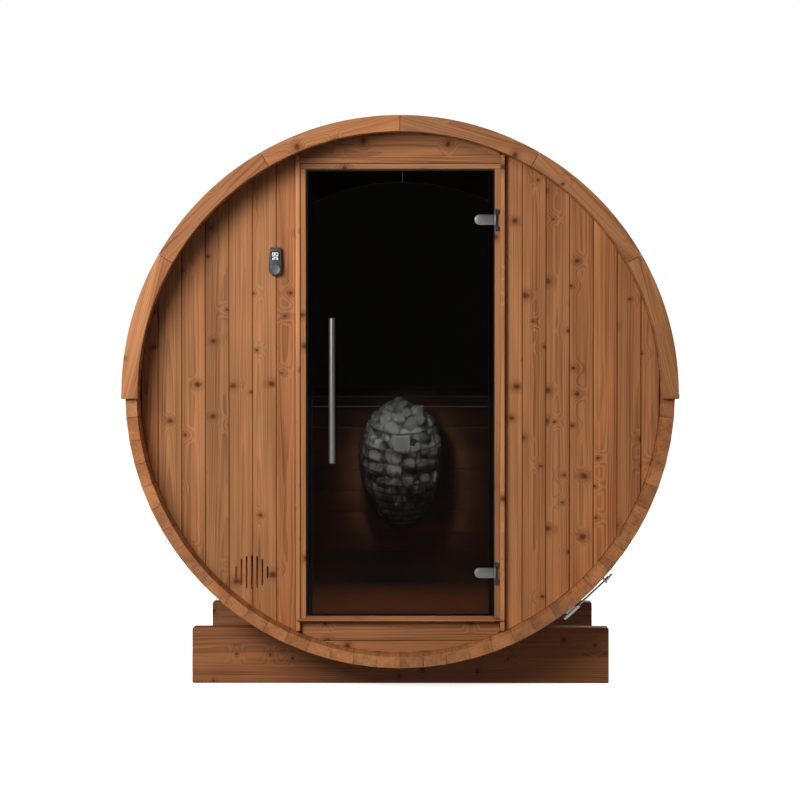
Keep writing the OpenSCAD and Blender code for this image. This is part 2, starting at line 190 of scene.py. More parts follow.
class Shader:
    """A material whose nodes are added by one method, with a Principled BSDF at its end."""

    def __init__(self, name, **constants):
        self.material = bpy.data.materials.new(name)
        self.material.use_nodes = True
        self.tree = self.material.node_tree
        self.bsdf = self.tree.nodes["Principled BSDF"]
        for socket, value in constants.items():
            self.bsdf.inputs[socket.replace("_", " ")].default_value = value

    def node(self, kind, settings=None, sockets=None):
        """Adds a node, makes its settings, then sets or links its sockets by name or place."""
        node = self.tree.nodes.new(kind)
        for key, value in (settings or {}).items():
            setattr(node, key, value)
        for key, value in (sockets or {}).items():
            self.feed(node.inputs[key], value)
        return node

    def feed(self, socket, value):
        if isinstance(value, Number):
            value = value.socket
        if isinstance(value, bpy.types.NodeSocket):
            self.tree.links.new(value, socket)
        elif socket.type == "RGBA":
            socket.default_value = (*value[:3], 1)
        else:
            socket.default_value = value

    def number(self, socket):
        return Number(self, socket)

    def math(self, operation, *values, clamp=False):
        settings = {"operation": operation, "use_clamp": clamp}
        node = self.node("ShaderNodeMath", settings, dict(enumerate(values)))
        return self.number(node.outputs[0])

    def attribute(self, name):
        return self.node("ShaderNodeAttribute", {"attribute_name": name}).outputs["Vector"]

    def place(self):
        return self.node("ShaderNodeTexCoord").outputs["Object"]

    def split(self, vector):
        node = self.node("ShaderNodeSeparateXYZ", sockets={0: vector})
        return [self.number(socket) for socket in node.outputs]

    def join(self, x, y, z):
        return self.node("ShaderNodeCombineXYZ", sockets={0: x, 1: y, 2: z}).outputs[0]

    def shift(self, vector, by):
        return self.node("ShaderNodeVectorMath", {"operation": "ADD"}, {0: vector, 1: by}).outputs[0]

    def stretch(self, vector, by):
        return self.node("ShaderNodeVectorMath", {"operation": "MULTIPLY"}, {0: vector, 1: by}).outputs[0]

    def noise(self, vector, scale=1.0, detail=3.0, roughness=0.55):
        sockets = {"Vector": vector, "Scale": scale, "Detail": detail, "Roughness": roughness}
        return self.number(self.node("ShaderNodeTexNoise", sockets=sockets).outputs["Fac"])

    def cells(self, vector, scale=1.0, randomness=1.0, feature="F1", dimensions="3D"):
        settings = {"feature": feature, "voronoi_dimensions": dimensions}
        return self.node("ShaderNodeTexVoronoi", settings,
                         {"Vector": vector, "Scale": scale, "Randomness": randomness})

    def step(self, value, start, end, first=0.0, last=1.0):
        """A smooth step from first to last as value goes from start to end."""
        node = self.node("ShaderNodeMapRange", {"interpolation_type": "SMOOTHSTEP"},
                         {0: value, 1: start, 2: end, 3: first, 4: last})
        return self.number(node.outputs[0])

    def mix(self, factor, first, second, blend="MIX"):
        settings = {"data_type": "RGBA", "blend_type": blend, "clamp_factor": True}
        return self.node("ShaderNodeMix", settings, {0: factor, 6: first, 7: second}).outputs[2]

    def shaded(self, colour, red, green, blue):
        """The colour with each of its parts multiplied by a number."""
        return self.mix(1.0, colour, self.join(red, green, blue), "MULTIPLY")

    def bump(self, height, strength, distance):
        sockets = {"Height": height, "Strength": strength, "Distance": distance}
        return self.node("ShaderNodeBump", sockets=sockets).outputs[0]

    def surface(self, **sockets):
        """Links what varies over the surface to the Principled BSDF."""
        for name, value in sockets.items():
            self.feed(self.bsdf.inputs[name.replace("_", " ")], value)
        return self.material


# ---- finishes ----

def scaled(colour, by):
    return tuple(min(1.0, by * part) for part in colour)


@functools.cache
def timber(name="sauna_timber", shade=(1.0, 1.0, 1.0), knots=0.42):
    """Heat-treated softwood: growth rings, streaks and knots in each board's own grain."""
    look = bpy.context.scene.sauna_timber
    s = Shader(name, Specular_IOR_Level=0.2)
    grain = s.attribute("grain")
    tone = s.attribute("tone")
    along, across, deep = s.split(grain)
    seed, hue, light = s.split(tone)
    where = s.shift(grain, s.stretch(tone, (61.0, 7.3, 5.1)))
    drift = s.noise(s.stretch(where, (1.1, 7.0, 7.0)), detail=2.0) - 0.5

    cell = s.cells(s.stretch(where, (9.5, 7.8, 0.0)), randomness=0.92, dimensions="2D")
    ragged = (s.noise(s.stretch(where, (60.0, 60.0, 60.0)), detail=3.0) - 0.5) * 0.07
    gap = s.number(cell.outputs["Distance"]) + ragged
    chance = s.split(cell.outputs["Color"])
    present = chance[0] < knots
    size = 0.050 + chance[1] * chance[1] * 0.095
    knot = s.step(gap / size, 0.50, 1.10, 1.0, 0.0) * present
    halo = s.step(gap / size, 0.9, 2.8, 1.0, 0.0) * present
    pith = s.step(gap / size, 0.05, 0.50, 1.0, 0.0) * present
    pull = s.step(gap, 0.0, 0.42, 1.0, 0.0) * present

    heart = deep + 0.022 + seed * 0.075 + along * (hue - 0.5) * 0.040 + drift * 0.016
    side = across + (light - 0.5) * 0.11 + drift * 0.012
    radius = s.math("SQRT", side * side + heart * heart) + pull * 0.012
    phase = radius / look.ring + s.noise(s.stretch(where, (2.0, 26.0, 26.0)), detail=2.0) * 1.1
    late = s.step(s.math("FRACT", phase), 0.30, 0.93)
    coarse = s.noise(s.stretch(where, (0.9, 17.0, 17.0)), detail=3.0)
    streak = s.step(coarse, 0.36, 0.66)
    vein = s.step(s.noise(s.stretch(where, (1.3, 120.0, 120.0)), detail=3.0), 0.40, 0.70)
    fibre = s.noise(s.stretch(where, (7.0, 420.0, 420.0)), detail=2.0, roughness=0.6)
    cloud = s.noise(s.stretch(where, (2.4, 5.0, 5.0)), detail=2.0)

    bands = late * (0.16 + coarse * 0.36) + streak * 0.36 + vein * 0.30
    depth = s.math("ADD", bands, (fibre - 0.5) * 0.26, clamp=True)
    colour = s.mix(depth, look.light, look.dark)
    warm = s.mix(hue, (1.06, 0.96, 0.88), (0.97, 1.02, 1.03))
    colour = s.mix(1.0, colour, warm, "MULTIPLY")
    level = (0.72 + light * 0.42) * (0.82 + cloud * 0.36)
    # Each finish's own per-part multiplier. On the cradles it is partly a darker wood and partly painted
    # shade.
    colour = s.shaded(colour, *(level * part for part in shade))
    colour = s.mix(halo * 0.5, colour, look.dark)
    colour = s.mix(knot * 0.85, colour, look.knot)
    colour = s.mix(pith * 0.70, colour, (0.032, 0.008, 0.002))
    rough = 0.66 - late * 0.10 + fibre * 0.10 + knot * 0.10
    height = fibre * 0.6 - late * 0.35 - knot * 0.5
    return s.surface(Base_Color=colour, Roughness=rough, Normal=s.bump(height, 0.22, 0.0012))


@functools.cache
def brushed(name, colour, rough=0.34, lines=(1.0, 1.0, 0.02)):
    """Satin metal with fine brush lines and a little soiling."""
    s = Shader(name, Metallic=1.0)
    place = s.place()
    scratch = s.noise(s.stretch(place, tuple(900 * k for k in lines)), detail=3.0, roughness=0.65)
    cloud = s.noise(place, scale=14.0, detail=3.0)
    soiled = s.mix(cloud, scaled(colour, 0.82), colour)
    shine = s.mix(s.step(scratch, 0.35, 0.75), soiled, scaled(colour, 1.12))
    return s.surface(Base_Color=shine, Roughness=rough + scratch * 0.10 + cloud * 0.06,
                     Normal=s.bump(scratch, 0.08, 0.0004))


@functools.cache
def painted(name, colour, rough=0.5, grain=700.0, relief=0.10):
    """Powder-coated metal or moulded plastic with a fine texture and worn, paler patches."""
    s = Shader(name)
    place = s.place()
    fine = s.noise(place, scale=grain, detail=2.0)
    cloud = s.noise(place, scale=9.0, detail=4.0)
    worn = s.mix(s.step(cloud, 0.3, 0.75), scaled(colour, 0.86), scaled(colour, 1.14))
    return s.surface(Base_Color=worn, Roughness=rough + (cloud - 0.5) * 0.16 + (fine - 0.5) * 0.08,
                     Normal=s.bump(fine, relief, 0.0005))


@functools.cache
def tinted_glass(name, cover, shade, gloss):
    """Dark grey glass: how much each face covers, with faint smears in its gloss. On the rear pane the grey
    body colour is painted light.
    """
    s = Shader(name, Specular_IOR_Level=gloss)
    place = s.place()
    smear = s.noise(s.stretch(place, (3.0, 3.0, 1.2)), detail=4.0)
    smoky_tint_and_painted_light = s.mix(smear, (0.8 * shade,) * 3, (1.2 * shade,) * 3)
    return s.surface(Base_Color=smoky_tint_and_painted_light, Roughness=0.02 + s.step(smear, 0.4, 0.8) * 0.05,
                     Alpha=cover + (smear - 0.5) * 0.04)


@functools.cache
def granules():
    """Mineral-coated bitumen: speckled granules in tabs of slightly different shades."""
    look = bpy.context.scene.sauna_roof
    s = Shader("shingle_granules")
    place = s.place()
    seed, _, light = s.split(s.attribute("tone"))
    grit = s.cells(place, scale=420.0)
    speck = s.number(grit.outputs["Distance"])
    pick = s.split(grit.outputs["Color"])[0]
    cloud = s.noise(place, scale=3.0, detail=3.0)
    base = s.mix(pick, scaled(look.colour, 0.45), scaled(look.colour, 2.1))
    level = (0.70 + light * 0.60) * (0.85 + cloud * 0.30)
    colour = s.shaded(base, level, level, level)
    return s.surface(Base_Color=colour, Roughness=0.86 + seed * 0.06,
                     Normal=s.bump(1 - speck + cloud, 0.5, 0.0012))


@functools.cache
def stone():
    """Broken olivine: speckled crystals, pale and dark blotches, and pitted bumps."""
    look = bpy.context.scene.sauna_heater
    s = Shader("heater_stone")
    place = s.place()
    light = s.split(s.attribute("tone"))[2]
    crystal = s.cells(place, scale=260.0)
    spark = s.split(crystal.outputs["Color"])[0]
    blotch = s.noise(s.shift(place, s.attribute("tone")), scale=26.0, detail=5.0)
    pits = s.noise(place, scale=110.0, detail=3.0)
    base = s.mix(s.step(blotch, 0.32, 0.68), scaled(look.colour, 0.55), scaled(look.colour, 1.35))
    base = s.mix(spark * 0.35, base, (0.30, 0.31, 0.29))
    level = 0.62 + light * 0.75
    colour = s.shaded(base, level, level, level)
    return s.surface(Base_Color=colour, Roughness=0.78 + (pits - 0.5) * 0.2,
                     Normal=s.bump(pits + blotch, 0.55, 0.003))


@functools.cache
def lit_digits():
    """Pale lit figures."""
    s = Shader("display_digits", Emission_Strength=0.55)
    glow = s.mix(s.noise(s.place(), scale=160.0), (0.72, 0.80, 0.82), (0.86, 0.92, 0.94))
    rough = 0.4 + s.noise(s.place(), scale=90.0) * 0.1
    return s.surface(Base_Color=glow, Emission_Color=glow, Roughness=rough)


def trim_timber():
    return timber("trim_timber", (1.02, 1.04, 1.06), 0.5)


def frame_timber():
    return timber("frame_timber", (1.16, 1.25, 1.34), 0.5)


def satin_metal():
    return brushed("satin_metal", (0.115, 0.115, 0.115), 0.38, (1.0, 1.0, 0.03))


def hoop_steel():
    return brushed("hoop_steel", (0.25, 0.245, 0.235), 0.40, (0.02, 1.0, 0.02))


def cage_metal():
    return painted("cage_metal", (0.022, 0.022, 0.022), 0.42, 500.0, 0.06)


def rubber():
    return painted("seal_rubber", (0.013, 0.0095, 0.0075), 0.62)


# ---- outlines and loops ----

def inset(outline, distance):
    """A closed outline moved inwards by a distance."""
    area = sum(a[0] * b[1] - b[0] * a[1] for a, b in zip(outline, outline[1:] + outline[:1]))
    sign = 1 if area > 0 else -1
    moved = []
    for i, point in enumerate(outline):
        p = Vector(point)
        before = (p - Vector(outline[i - 1])).normalized()
        after = (Vector(outline[(i + 1) % len(outline)]) - p).normalized()
        normal = Vector((-before.y - after.y, before.x + after.x)) * sign
        normal.normalize()
        lean = max(0.35, normal.dot(Vector((-before.y, before.x)) * sign))
        moved.append(tuple(p + normal * distance / lean))
    return moved


def eased(outline, size, sharp=30):
    """The outline with every corner sharper than so many degrees cut back."""
    result = []
    for i, point in enumerate(outline):
        p = Vector(point)
        back = Vector(outline[i - 1]) - p
        forth = Vector(outline[(i + 1) % len(outline)]) - p
        if math.degrees(back.angle(-forth)) < sharp:
            result.append(tuple(p))
            continue
        for arm in (back, forth):
            result.append(tuple(p + arm.normalized() * min(size, arm.length * 0.4)))
    return result


def arc(radius, start, end, steps, centre=(0.0, 0.0)):
    """Points on an arc, its angles in degrees."""
    angles = [math.radians(start + (end - start) * i / steps) for i in range(steps + 1)]
    return [(centre[0] + radius * math.cos(a), centre[1] + radius * math.sin(a)) for a in angles]


def rectangle(u0, u1, v0, v1):
    return [(u0, v0), (u1, v0), (u1, v1), (u0, v1)]


def prism(outline, start, end, ease, place, steps=1):
    """Loops that draw an outline out from start to end, with both rims eased."""
    loops = []
    turns = [math.pi / 2 * k / steps for k in range(steps + 1)]
    rims = [(ease * (1 - math.sin(t)), ease * (1 - math.cos(t))) for t in turns]
    for pull, depth in rims:
        loops.append([place(u, v, start + depth) for u, v in inset(outline, pull)])
    for pull, depth in reversed(rims):
        loops.append([place(u, v, end - depth) for u, v in inset(outline, pull)])
    return loops


def strip(u0, u1, radius, v0=-9.0, v1=9.0, steps=6):
    """A straight strip from u0 to u1 across a disc, cut to its rim and to v0 and v1."""
    def rim(u):
        return math.sqrt(max(0.0, radius * radius - u * u))
    places = [u0 + (u1 - u0) * i / steps for i in range(steps + 1)]
    foot = [(u, max(v0, -rim(u))) for u in places]
    head = [(u, min(v1, rim(u))) for u in reversed(places)]
    return foot + head


def joints(start, end, pitch):
    """Neighbouring pairs of joints from start to end, with a last narrower board."""
    count = max(1, math.ceil((end - start) / pitch - 0.12))
    marks = [start + i * pitch for i in range(count)] + [end]
    return list(zip(marks, marks[1:]))


# ---- mesh building ----

class Build:
    """Collects the parts of one piece into one mesh, each with its own grain and tone."""

    def __init__(self, seed):
        self.mesh = bmesh.new()
        layers = self.mesh.verts.layers.float_vector
        self.grain = layers.new("grain")
        self.tone = layers.new("tone")
        self.random = random.Random(seed)
        self.material = 0
        self.variety = 1.0
        self.parts = []

    def skin(self, loops, along=(0, 0, 1), across=(1, 0, 0), closed=False, capped=True):
        """Skins closed loops of points into one solid; its grain runs along a direction."""
        along = Vector(along).normalized()
        across = Vector(across).normalized()
        deep = along.cross(across)
        points = [p for loop in loops for p in loop]
        centre = sum(points, Vector()) / len(points)
        tone = Vector([self.random.random() for _ in range(3)])
        tone.z = 0.5 + (tone.z - 0.5) * self.variety
        self.parts.append((centre, tone))
        rings = []
        for loop in loops:
            ring = []
            for point in loop:
                vert = self.mesh.verts.new(point)
                away = point - centre
                vert[self.grain] = (away.dot(along), away.dot(across), away.dot(deep))
                vert[self.tone] = tone
                ring.append(vert)
            rings.append(ring)
        pairs = list(zip(rings, rings[1:])) + ([(rings[-1], rings[0])] if closed else [])
        for a, b in pairs:
            for i in range(len(a)):
                self.face((a[i - 1], a[i], b[i], b[i - 1]))
        if capped and not closed:
            self.face(rings[0][::-1])
            self.face(rings[-1])

    def face(self, verts):
        self.mesh.faces.new(verts).material_index = self.material

    def turned(self, profile, centre, axis, steps=24, phase=0.0):
        """Turns a profile of (radius, height) pairs about an axis through a centre."""
        axis = Vector(axis).normalized()
        side = axis.orthogonal().normalized()
        other = axis.cross(side)
        centre = Vector(centre)
        loops = []
        for radius, height in profile:
            angles = [2 * math.pi * i / steps + phase for i in range(steps)]
            loops.append([centre + axis * height + (side * math.cos(a) + other * math.sin(a)) * radius
                          for a in angles])
        self.skin(loops, axis, side)

    def wire(self, path, radius, sides=8, closed=False):
        """A round wire along a path of points."""
        loops = []
        count = len(path)
        for i, point in enumerate(path):
            before = path[i - 1] if closed or i else point
            after = path[(i + 1) % count] if closed or i < count - 1 else point
            ahead = (after - before).normalized()
            side = ahead.cross(Vector((0, 0, 1)))
            side = side.normalized() if side.length > 0.05 else Vector((1, 0, 0))
            other = ahead.cross(side)
            angles = [2 * math.pi * k / sides for k in range(sides)]
            loops.append([point + (side * math.cos(a) + other * math.sin(a)) * radius for a in angles])
        self.skin(loops, closed=closed)

    def finish_wood(self, name, node, wood):
        """A wooden piece of the cabin in place of one CAD node."""
        return self.finish(name, CABIN, [node], [wood])

    def finish(self, name, body, replaced, materials, sharp=32):
        """Makes the mesh an object, rides it on its body and hides the CAD nodes it replaces."""
        bmesh.ops.recalc_face_normals(self.mesh, faces=self.mesh.faces)
        mesh = bpy.data.meshes.new(name)
        self.mesh.to_mesh(mesh)
        self.mesh.free()
        mesh.shade_smooth()
        mesh.set_sharp_from_angle(angle=math.radians(sharp))
        for material in materials:
            mesh.materials.append(material)
        piece = bpy.data.objects.new(name, mesh)
        bpy.context.scene.collection.objects.link(piece)
        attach(piece, body)
        if replaced:
            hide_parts(*replaced)
        return piece


def dress(node, material):
    """Gives a CAD node its finish."""
    piece = frame["nodes"][node]
    piece.data.materials.clear()
    piece.data.materials.append(material)


def from_axis(u, v, w):
    """A point across and up from the barrel's axis, w along it."""
    return Vector((u, w, AXIS_Z + v))


def upright(u, v, w):
    """A point of an outline drawn on the ground, w above it."""
    return Vector((u, v, w))


def front_on(u, v, w):
    """A point of an outline seen from the front, w behind it."""
    return Vector((u, w, v))


def end_on(u, v, w):
    """A point of an outline seen from the side, w across."""
    return Vector((w, u, v))


# Boards that lie level across the barrel: the way their grain runs, and the way across it.
LEVEL = (1, 0, 0), (0, 0, 1)


def curved_board(build, r0, r1, a0, a1, y0, y1, ease, steps=12):
    """A board cut to a curve about the barrel's axis; its grain runs straight along it."""
    outline = arc(r1, a0, a1, steps) + arc(r0, a1, a0, steps)
    turn = math.radians((a0 + a1) / 2)
    build.skin(prism(outline, y0, y1, ease, from_axis, 2),
               along=(-math.sin(turn), 0, math.cos(turn)), across=(math.cos(turn), 0, math.sin(turn)))


# ---- operators ----

class SAUNA_OT_staves(bpy.types.Operator):
    """Lay the staves round the barrel"""
    bl_idname = "sauna.staves"
    bl_label = "Staves"

    PANELS = ("upper_right", "top_right", "top_left", "upper_left",
              "lower_left", "bottom_left", "bottom_right", "lower_right")
    REACH = 45

    def execute(self, context):
        boards = context.scene.sauna_boards
        y0, y1 = low("staves_top_left").y, high("staves_top_left").y
        turn = 360 / boards.staves
        for number, place in enumerate(self.PANELS):
            build = Build(seed=100 + number)
            build.variety = 0.6
            for i in range(round(self.REACH / turn)):
                self.stave(build, boards, number * self.REACH + (i + 0.5) * turn, turn, y0, y1)
            build.finish_wood(f"{place}_staves", f"staves_{place}", timber())
        return {"FINISHED"}

    def stave(self, build, boards, angle, turn, y0, y1):
        """One flat-faced stave, its long edges bevelled to meet its neighbours."""
        out = Vector((math.cos(math.radians(angle)), math.sin(math.radians(angle))))
        side = Vector((-out.y, out.x))
        half = math.radians(turn / 2)
        corners = []
        for radius, sign in ((INNER_R, -1), (OUTER_R, -1), (OUTER_R, 1), (INNER_R, 1)):
            width = radius * math.sin(half) - boards.gap / 4
            corners.append(tuple(out * radius * math.cos(half) + side * sign * width))
        outline = eased(corners, boards.edge * 0.3)
        build.skin(prism(outline, y0, y1, boards.edge * 0.3, from_axis),
                   along=(0, 1, 0), across=(side.x, 0, side.y))


class SAUNA_OT_trim(bpy.types.Operator):
    """Fix the curved trim boards over the stave ends"""
    bl_idname = "sauna.trim"
    bl_label = "Roof trim"

    def execute(self, context):
        for number, end in enumerate(("front", "rear")):
            node = f"roof_trim_{end}"
            build = Build(seed=1193 + number)
            for i in range(6):
                a0 = -1.0 if i == 0 else i * 30 + 0.03
                a1 = 181.0 if i == 5 else (i + 1) * 30 - 0.03
                curved_board(build, TRIM_R0, TRIM_R1, a0, a1, low(node).y, high(node).y, 0.0022, 16)
            build.finish_wood(f"{end}_trim_boards", node, trim_timber())
        return {"FINISHED"}


class SAUNA_OT_roof(bpy.types.Operator):
    """Lay the shingles and the metal eaves"""
    bl_idname = "sauna.roof"
    bl_label = "Roof"

    FELT_R = ROOF_R - 0.0045
    JOINT = 0.0025
    CAPS = 8
    # How far up a tab, how much its corners are clipped, and how deep it is tucked in
    TAB = ((0.0, 0.022, 0.0), (0.14, 0.004, 0.0), (0.40, 0.0, 0.35), (0.70, 0.0, 0.75), (1.0, 0.0, 1.0))

    def execute(self, context):
        roof = context.scene.sauna_roof
        for side in ("right", "left"):
            self.cover(roof, side)
            dress(f"eaves_{side}", painted("eaves_paint", (0.20, 0.20, 0.205), 0.45, 600.0, 0.05))
        return {"FINISHED"}

    def cover(self, roof, side):
        """Overlapping courses from the eaves to the ridge, and half of the ridge's caps."""
        y0, y1 = low("roof_right").y + 0.001, high("roof_right").y - 0.001
        sign = 1 if side == "right" else -1
        build = Build(31 if side == "right" else 37)
        course = 89.3 / roof.courses
        pitch = (y1 - y0) / roof.tabs
        for row in range(roof.courses):
            start = 0.35 + row * course
            reach = min(course * 1.42, 89.9 - start)
            offset = pitch / 2 if row % 2 else 0.0
            for tab in range(-1, roof.tabs + 1):
                left = max(y0, y0 + tab * pitch + offset + self.JOINT)
                right = min(y1, y0 + (tab + 1) * pitch + offset - self.JOINT)
                if right - left > 0.03:
                    self.tab(build, sign, start, reach, left, right)
        for cap in range(self.CAPS):
            self.cap(build, sign, y0, y1, cap)
        felt = arc(self.FELT_R, 0.3, 89.9, 60) + arc(self.FELT_R - 0.001, 89.9, 0.3, 60)
        build.skin(prism([(sign * u, v) for u, v in felt], y0, y1, 0.0003, from_axis))
        build.finish(f"{side}_shingles", CABIN, [f"roof_{side}"], [granules()], sharp=50)

    def tab(self, build, sign, start, reach, left, right):
        """One tab: thick and loose at its lower edge, tucked under the next course above."""
        lift = build.random.uniform(0.0, 0.0008)
        skew = build.random.uniform(-0.002, 0.002)
        loops = []
        for part, corner, tuck in self.TAB:
            top = ROOF_R - 0.0006 - lift - 0.0036 * tuck
            inner = top - 0.0030 + 0.0010 * tuck
            turn = math.radians(start + reach * part)
            ends = rectangle(left + corner, right - corner, inner, top)
            loops.append([self.on_roof(sign, turn, r, y + skew * (1 - part)) for y, r in ends])
        build.skin(loops)

    def on_roof(self, sign, turn, radius, y):
        return from_axis(sign * radius * math.cos(turn), radius * math.sin(turn), y)

    def cap(self, build, sign, y0, y1, number):
        """Half of a cap that folds over the ridge, laid over the cap before it."""
        pitch = (y1 - y0) / self.CAPS
        start = y0 + number * pitch
        end = min(y1, start + pitch * 1.25)
        loops = []
        for part in (0.0, 0.25, 0.5, 0.75, 1.0):
            turn = math.radians(90 - 7.5 * part)
            near, far = ROOF_R + 0.0036, ROOF_R + 0.0014
            ends = ((start, near - 0.002), (end, far - 0.002), (end, far), (start, near))
            loops.append([self.on_roof(sign, turn, r, y) for y, r in ends])
        build.skin(loops)


class SAUNA_OT_front_wall(bpy.types.Operator):
    """Board the recessed front wall and cut its vent"""
    bl_idname = "sauna.front_wall"
    bl_label = "Front wall"

    VENT_R = 0.064
    SLOT_W = 0.006
    SLOT_PITCH = 0.02
    VENT_X = -0.564
    VENT_Z = 0.441
    LOW_JOINT_Z = 0.179

    def execute(self, context):
        boards = context.scene.sauna_boards
        sides = (("left", -1, boards.left_joint, 4546), ("right", 1, boards.right_joint, 6590))
        for side, sign, first, seed in sides:
            build = Build(seed)
            edges = [(FRAME_X, first)] + joints(first, WALL_R - 0.004, boards.pitch)
            for u0, u1 in edges:
                half_gap = boards.gap / 2
                outline = [(sign * u, v) for u, v in strip(u0 + half_gap, u1 - half_gap, WALL_R)]
                build.skin(prism(outline, *WALL_Y, boards.edge, from_axis))
            wall = build.finish_wood(f"{side}_wall_boards", f"front_wall_{side}", timber())
            if side == "left":
                self.cut_vent(wall)
                places = [(-(u0 + u1) / 2, (u1 - u0) / 2) for u0, u1 in edges]
                self.regrain(wall.data, places, build.parts)
        self.level_boards("top", (high("door_head").z, AXIS_Z + WALL_R), 417)
        self.level_boards("bottom", (AXIS_Z - WALL_R, self.LOW_JOINT_Z, low("door_sill").z), 419)
        return {"FINISHED"}

    def level_boards(self, place, heights, seed):
        """Boards that lie level over the door's head or under its sill, from the top down."""
        boards = bpy.context.scene.sauna_boards
        build = Build(seed)
        for z0, z1 in reversed(list(zip(heights, heights[1:]))):
            v0, v1 = z0 - AXIS_Z + boards.gap / 2, z1 - AXIS_Z - boards.gap / 2
            outline = [(u, v) for v, u in strip(v0, v1, WALL_R, -STRIP_X, STRIP_X)]
            build.skin(prism(outline, *WALL_Y, boards.edge * 0.6, from_axis), *LEVEL)
        build.finish_wood(f"{place}_wall_boards", f"front_wall_{place}", timber())

    def cut_vent(self, wall):
        """Saws the vent's upright slots through the boards, inside a circle."""
        cutter = Build(seed=1)
        middle_v = self.VENT_Z - AXIS_Z
        radius = self.SLOT_W / 2
        for i in range(-3, 4):
            half = math.sqrt(self.VENT_R ** 2 - (i * self.SLOT_PITCH) ** 2) - radius
            x = self.VENT_X + i * self.SLOT_PITCH
            outline = arc(radius, 0, 180, 6, (x, middle_v + half))
            outline += arc(radius, 180, 360, 6, (x, middle_v - half))
            faces = (WALL_Y[0] - 0.01, WALL_Y[1] + 0.01)
            cutter.skin([[from_axis(u, v, y) for u, v in outline] for y in faces])
        bmesh.ops.recalc_face_normals(cutter.mesh, faces=cutter.mesh.faces)
        mesh = bpy.data.meshes.new("vent_cutter")
        cutter.mesh.to_mesh(mesh)
        cutter.mesh.free()
        tool = bpy.data.objects.new("vent_cutter", mesh)
        bpy.context.scene.collection.objects.link(tool)
        cut = wall.modifiers.new("vent", "BOOLEAN")
        cut.object = tool
        cut.solver = "EXACT"
        bpy.context.view_layer.update()
        graph = bpy.context.evaluated_depsgraph_get()
        sawn = bpy.data.meshes.new_from_object(wall.evaluated_get(graph))
        wall.modifiers.clear()
        wall.data = sawn
        bpy.data.objects.remove(tool)

    def regrain(self, mesh, places, parts):
        """Gives every vertex of the sawn boards its own board's grain and tone again."""
        grain, tone = (mesh.attributes[name].data for name in ("grain", "tone"))
        for vert in mesh.vertices:
            reach = [abs(vert.co.x - x) - half for x, half in places]
            centre, shade = parts[reach.index(min(reach))]
            away = vert.co - centre
            grain[vert.index].vector = (away.z, away.x, away.y)
            tone[vert.index].vector = shade


class SAUNA_OT_door_frame(bpy.types.Operator):
    """Make the door's jambs, head and sill"""
    bl_idname = "sauna.door_frame"
    bl_label = "Door frame"

    EASE = 0.0022
    END_EASE = 0.0006

    def execute(self, context):
        wood = frame_timber()
        for side, sign, seed in (("left", -1, 507), ("right", 1, 508)):
            build = Build(seed)
            self.jamb(build, sign)
            build.finish_wood(f"{side}_jamb", f"door_jamb_{side}", wood)
        self.head(wood)
        self.sill(wood)
        dress("door_seal", rubber())
        return {"FINISHED"}

    def jamb(self, build, sign):
        """A proud outer strip from curve to curve, and the stepped strip inside it."""
        rim = math.sqrt(WALL_R ** 2 - FRAME_X ** 2) - 0.001
        outer = rectangle(STRIP_X + 0.0003, FRAME_X - 0.0003, FRAME_FRONT, FRAME_BACK)
        outer = eased([(sign * u, v) for u, v in outer], self.EASE)
        build.skin(prism(outer, AXIS_Z - rim, AXIS_Z + rim, self.EASE, upright))
        inner = [(STRIP_X - 0.0001, STEP_Y), (OPEN_X, STEP_Y), (OPEN_X, STOP_Y), (STOP_X, STOP_Y),
                 (STOP_X, FRAME_BACK - 0.0004), (STRIP_X - 0.0001, FRAME_BACK - 0.0004)]
        inner = eased([(sign * u, v) for u, v in inner], 0.0007)
        build.skin(prism(inner, low("door_sill").z, low("door_head").z + 0.0105, self.END_EASE, upright))

    def head(self, wood):
        """The head's lower lip and the board above it."""
        z0, z1 = low("door_head").z + 0.011, high("door_head").z
        build = Build(seed=523)
        step = z0 + 0.02
        lip = rectangle(STEP_Y, FRAME_BACK, z0, step)
        self.bar(build, lip, self.EASE, STRIP_X)
        top = rectangle(FRAME_FRONT, FRAME_BACK, step + 0.0006, z1)
        self.bar(build, top, self.EASE, STRIP_X)
        stop = rectangle(STOP_Y, FRAME_BACK, low("door_head").z, z0 - 0.0004)
        self.bar(build, stop, 0.0015, STOP_X)
        build.finish_wood("head_board", "door_head", wood)

    def bar(self, build, outline, ease, reach):
        """A level bar with eased edges, as long to the left as to the right."""
        build.skin(prism(eased(outline, ease), -reach, reach, self.END_EASE, end_on), *LEVEL)

    def sill(self, wood):
        """A sloping sill whose lip ends in points over the jambs, and the stop behind it."""
        lo, hi = low("door_sill"), high("door_sill")
        front, lip, top = lo.y, lo.z + 0.0065, hi.z - 0.011
        back = STOP_Y - 0.008
        build = Build(seed=541)

        def section(x, to):
            rise = (to - front) / (back - front)
            z = lip + 0.004 + (top - lip - 0.004) * min(1.0, rise)
            return [Vector((x, y, w)) for y, w in ((front, lip), (to, lip), (to, z), (front, lip + 0.004))]
        ends = [(hi.x - 0.0002, front + 0.001), (STRIP_X + 0.001, FRAME_FRONT - 0.0004),
                (STRIP_X + 0.0004, FRAME_FRONT - 0.0003), (STRIP_X - 0.0002, STEP_Y - 0.0004),
                (OPEN_X, STEP_Y - 0.0003), (OPEN_X - 0.0004, back)]
        loops = [section(-x, to) for x, to in ends] + [section(x, to) for x, to in reversed(ends)]
        build.skin(loops, *LEVEL)
        foot = rectangle(STEP_Y + 0.001, STOP_Y - 0.0004, lo.z, lip - 0.0002)
        build.skin(prism(foot, -OPEN_X + 0.0004, OPEN_X - 0.0004, self.END_EASE, end_on), *LEVEL)
        stop = rectangle(STOP_Y, FRAME_BACK, lo.z, hi.z)
        self.bar(build, stop, 0.0015, STOP_X)
        build.finish_wood("sill_board", "door_sill", wood)


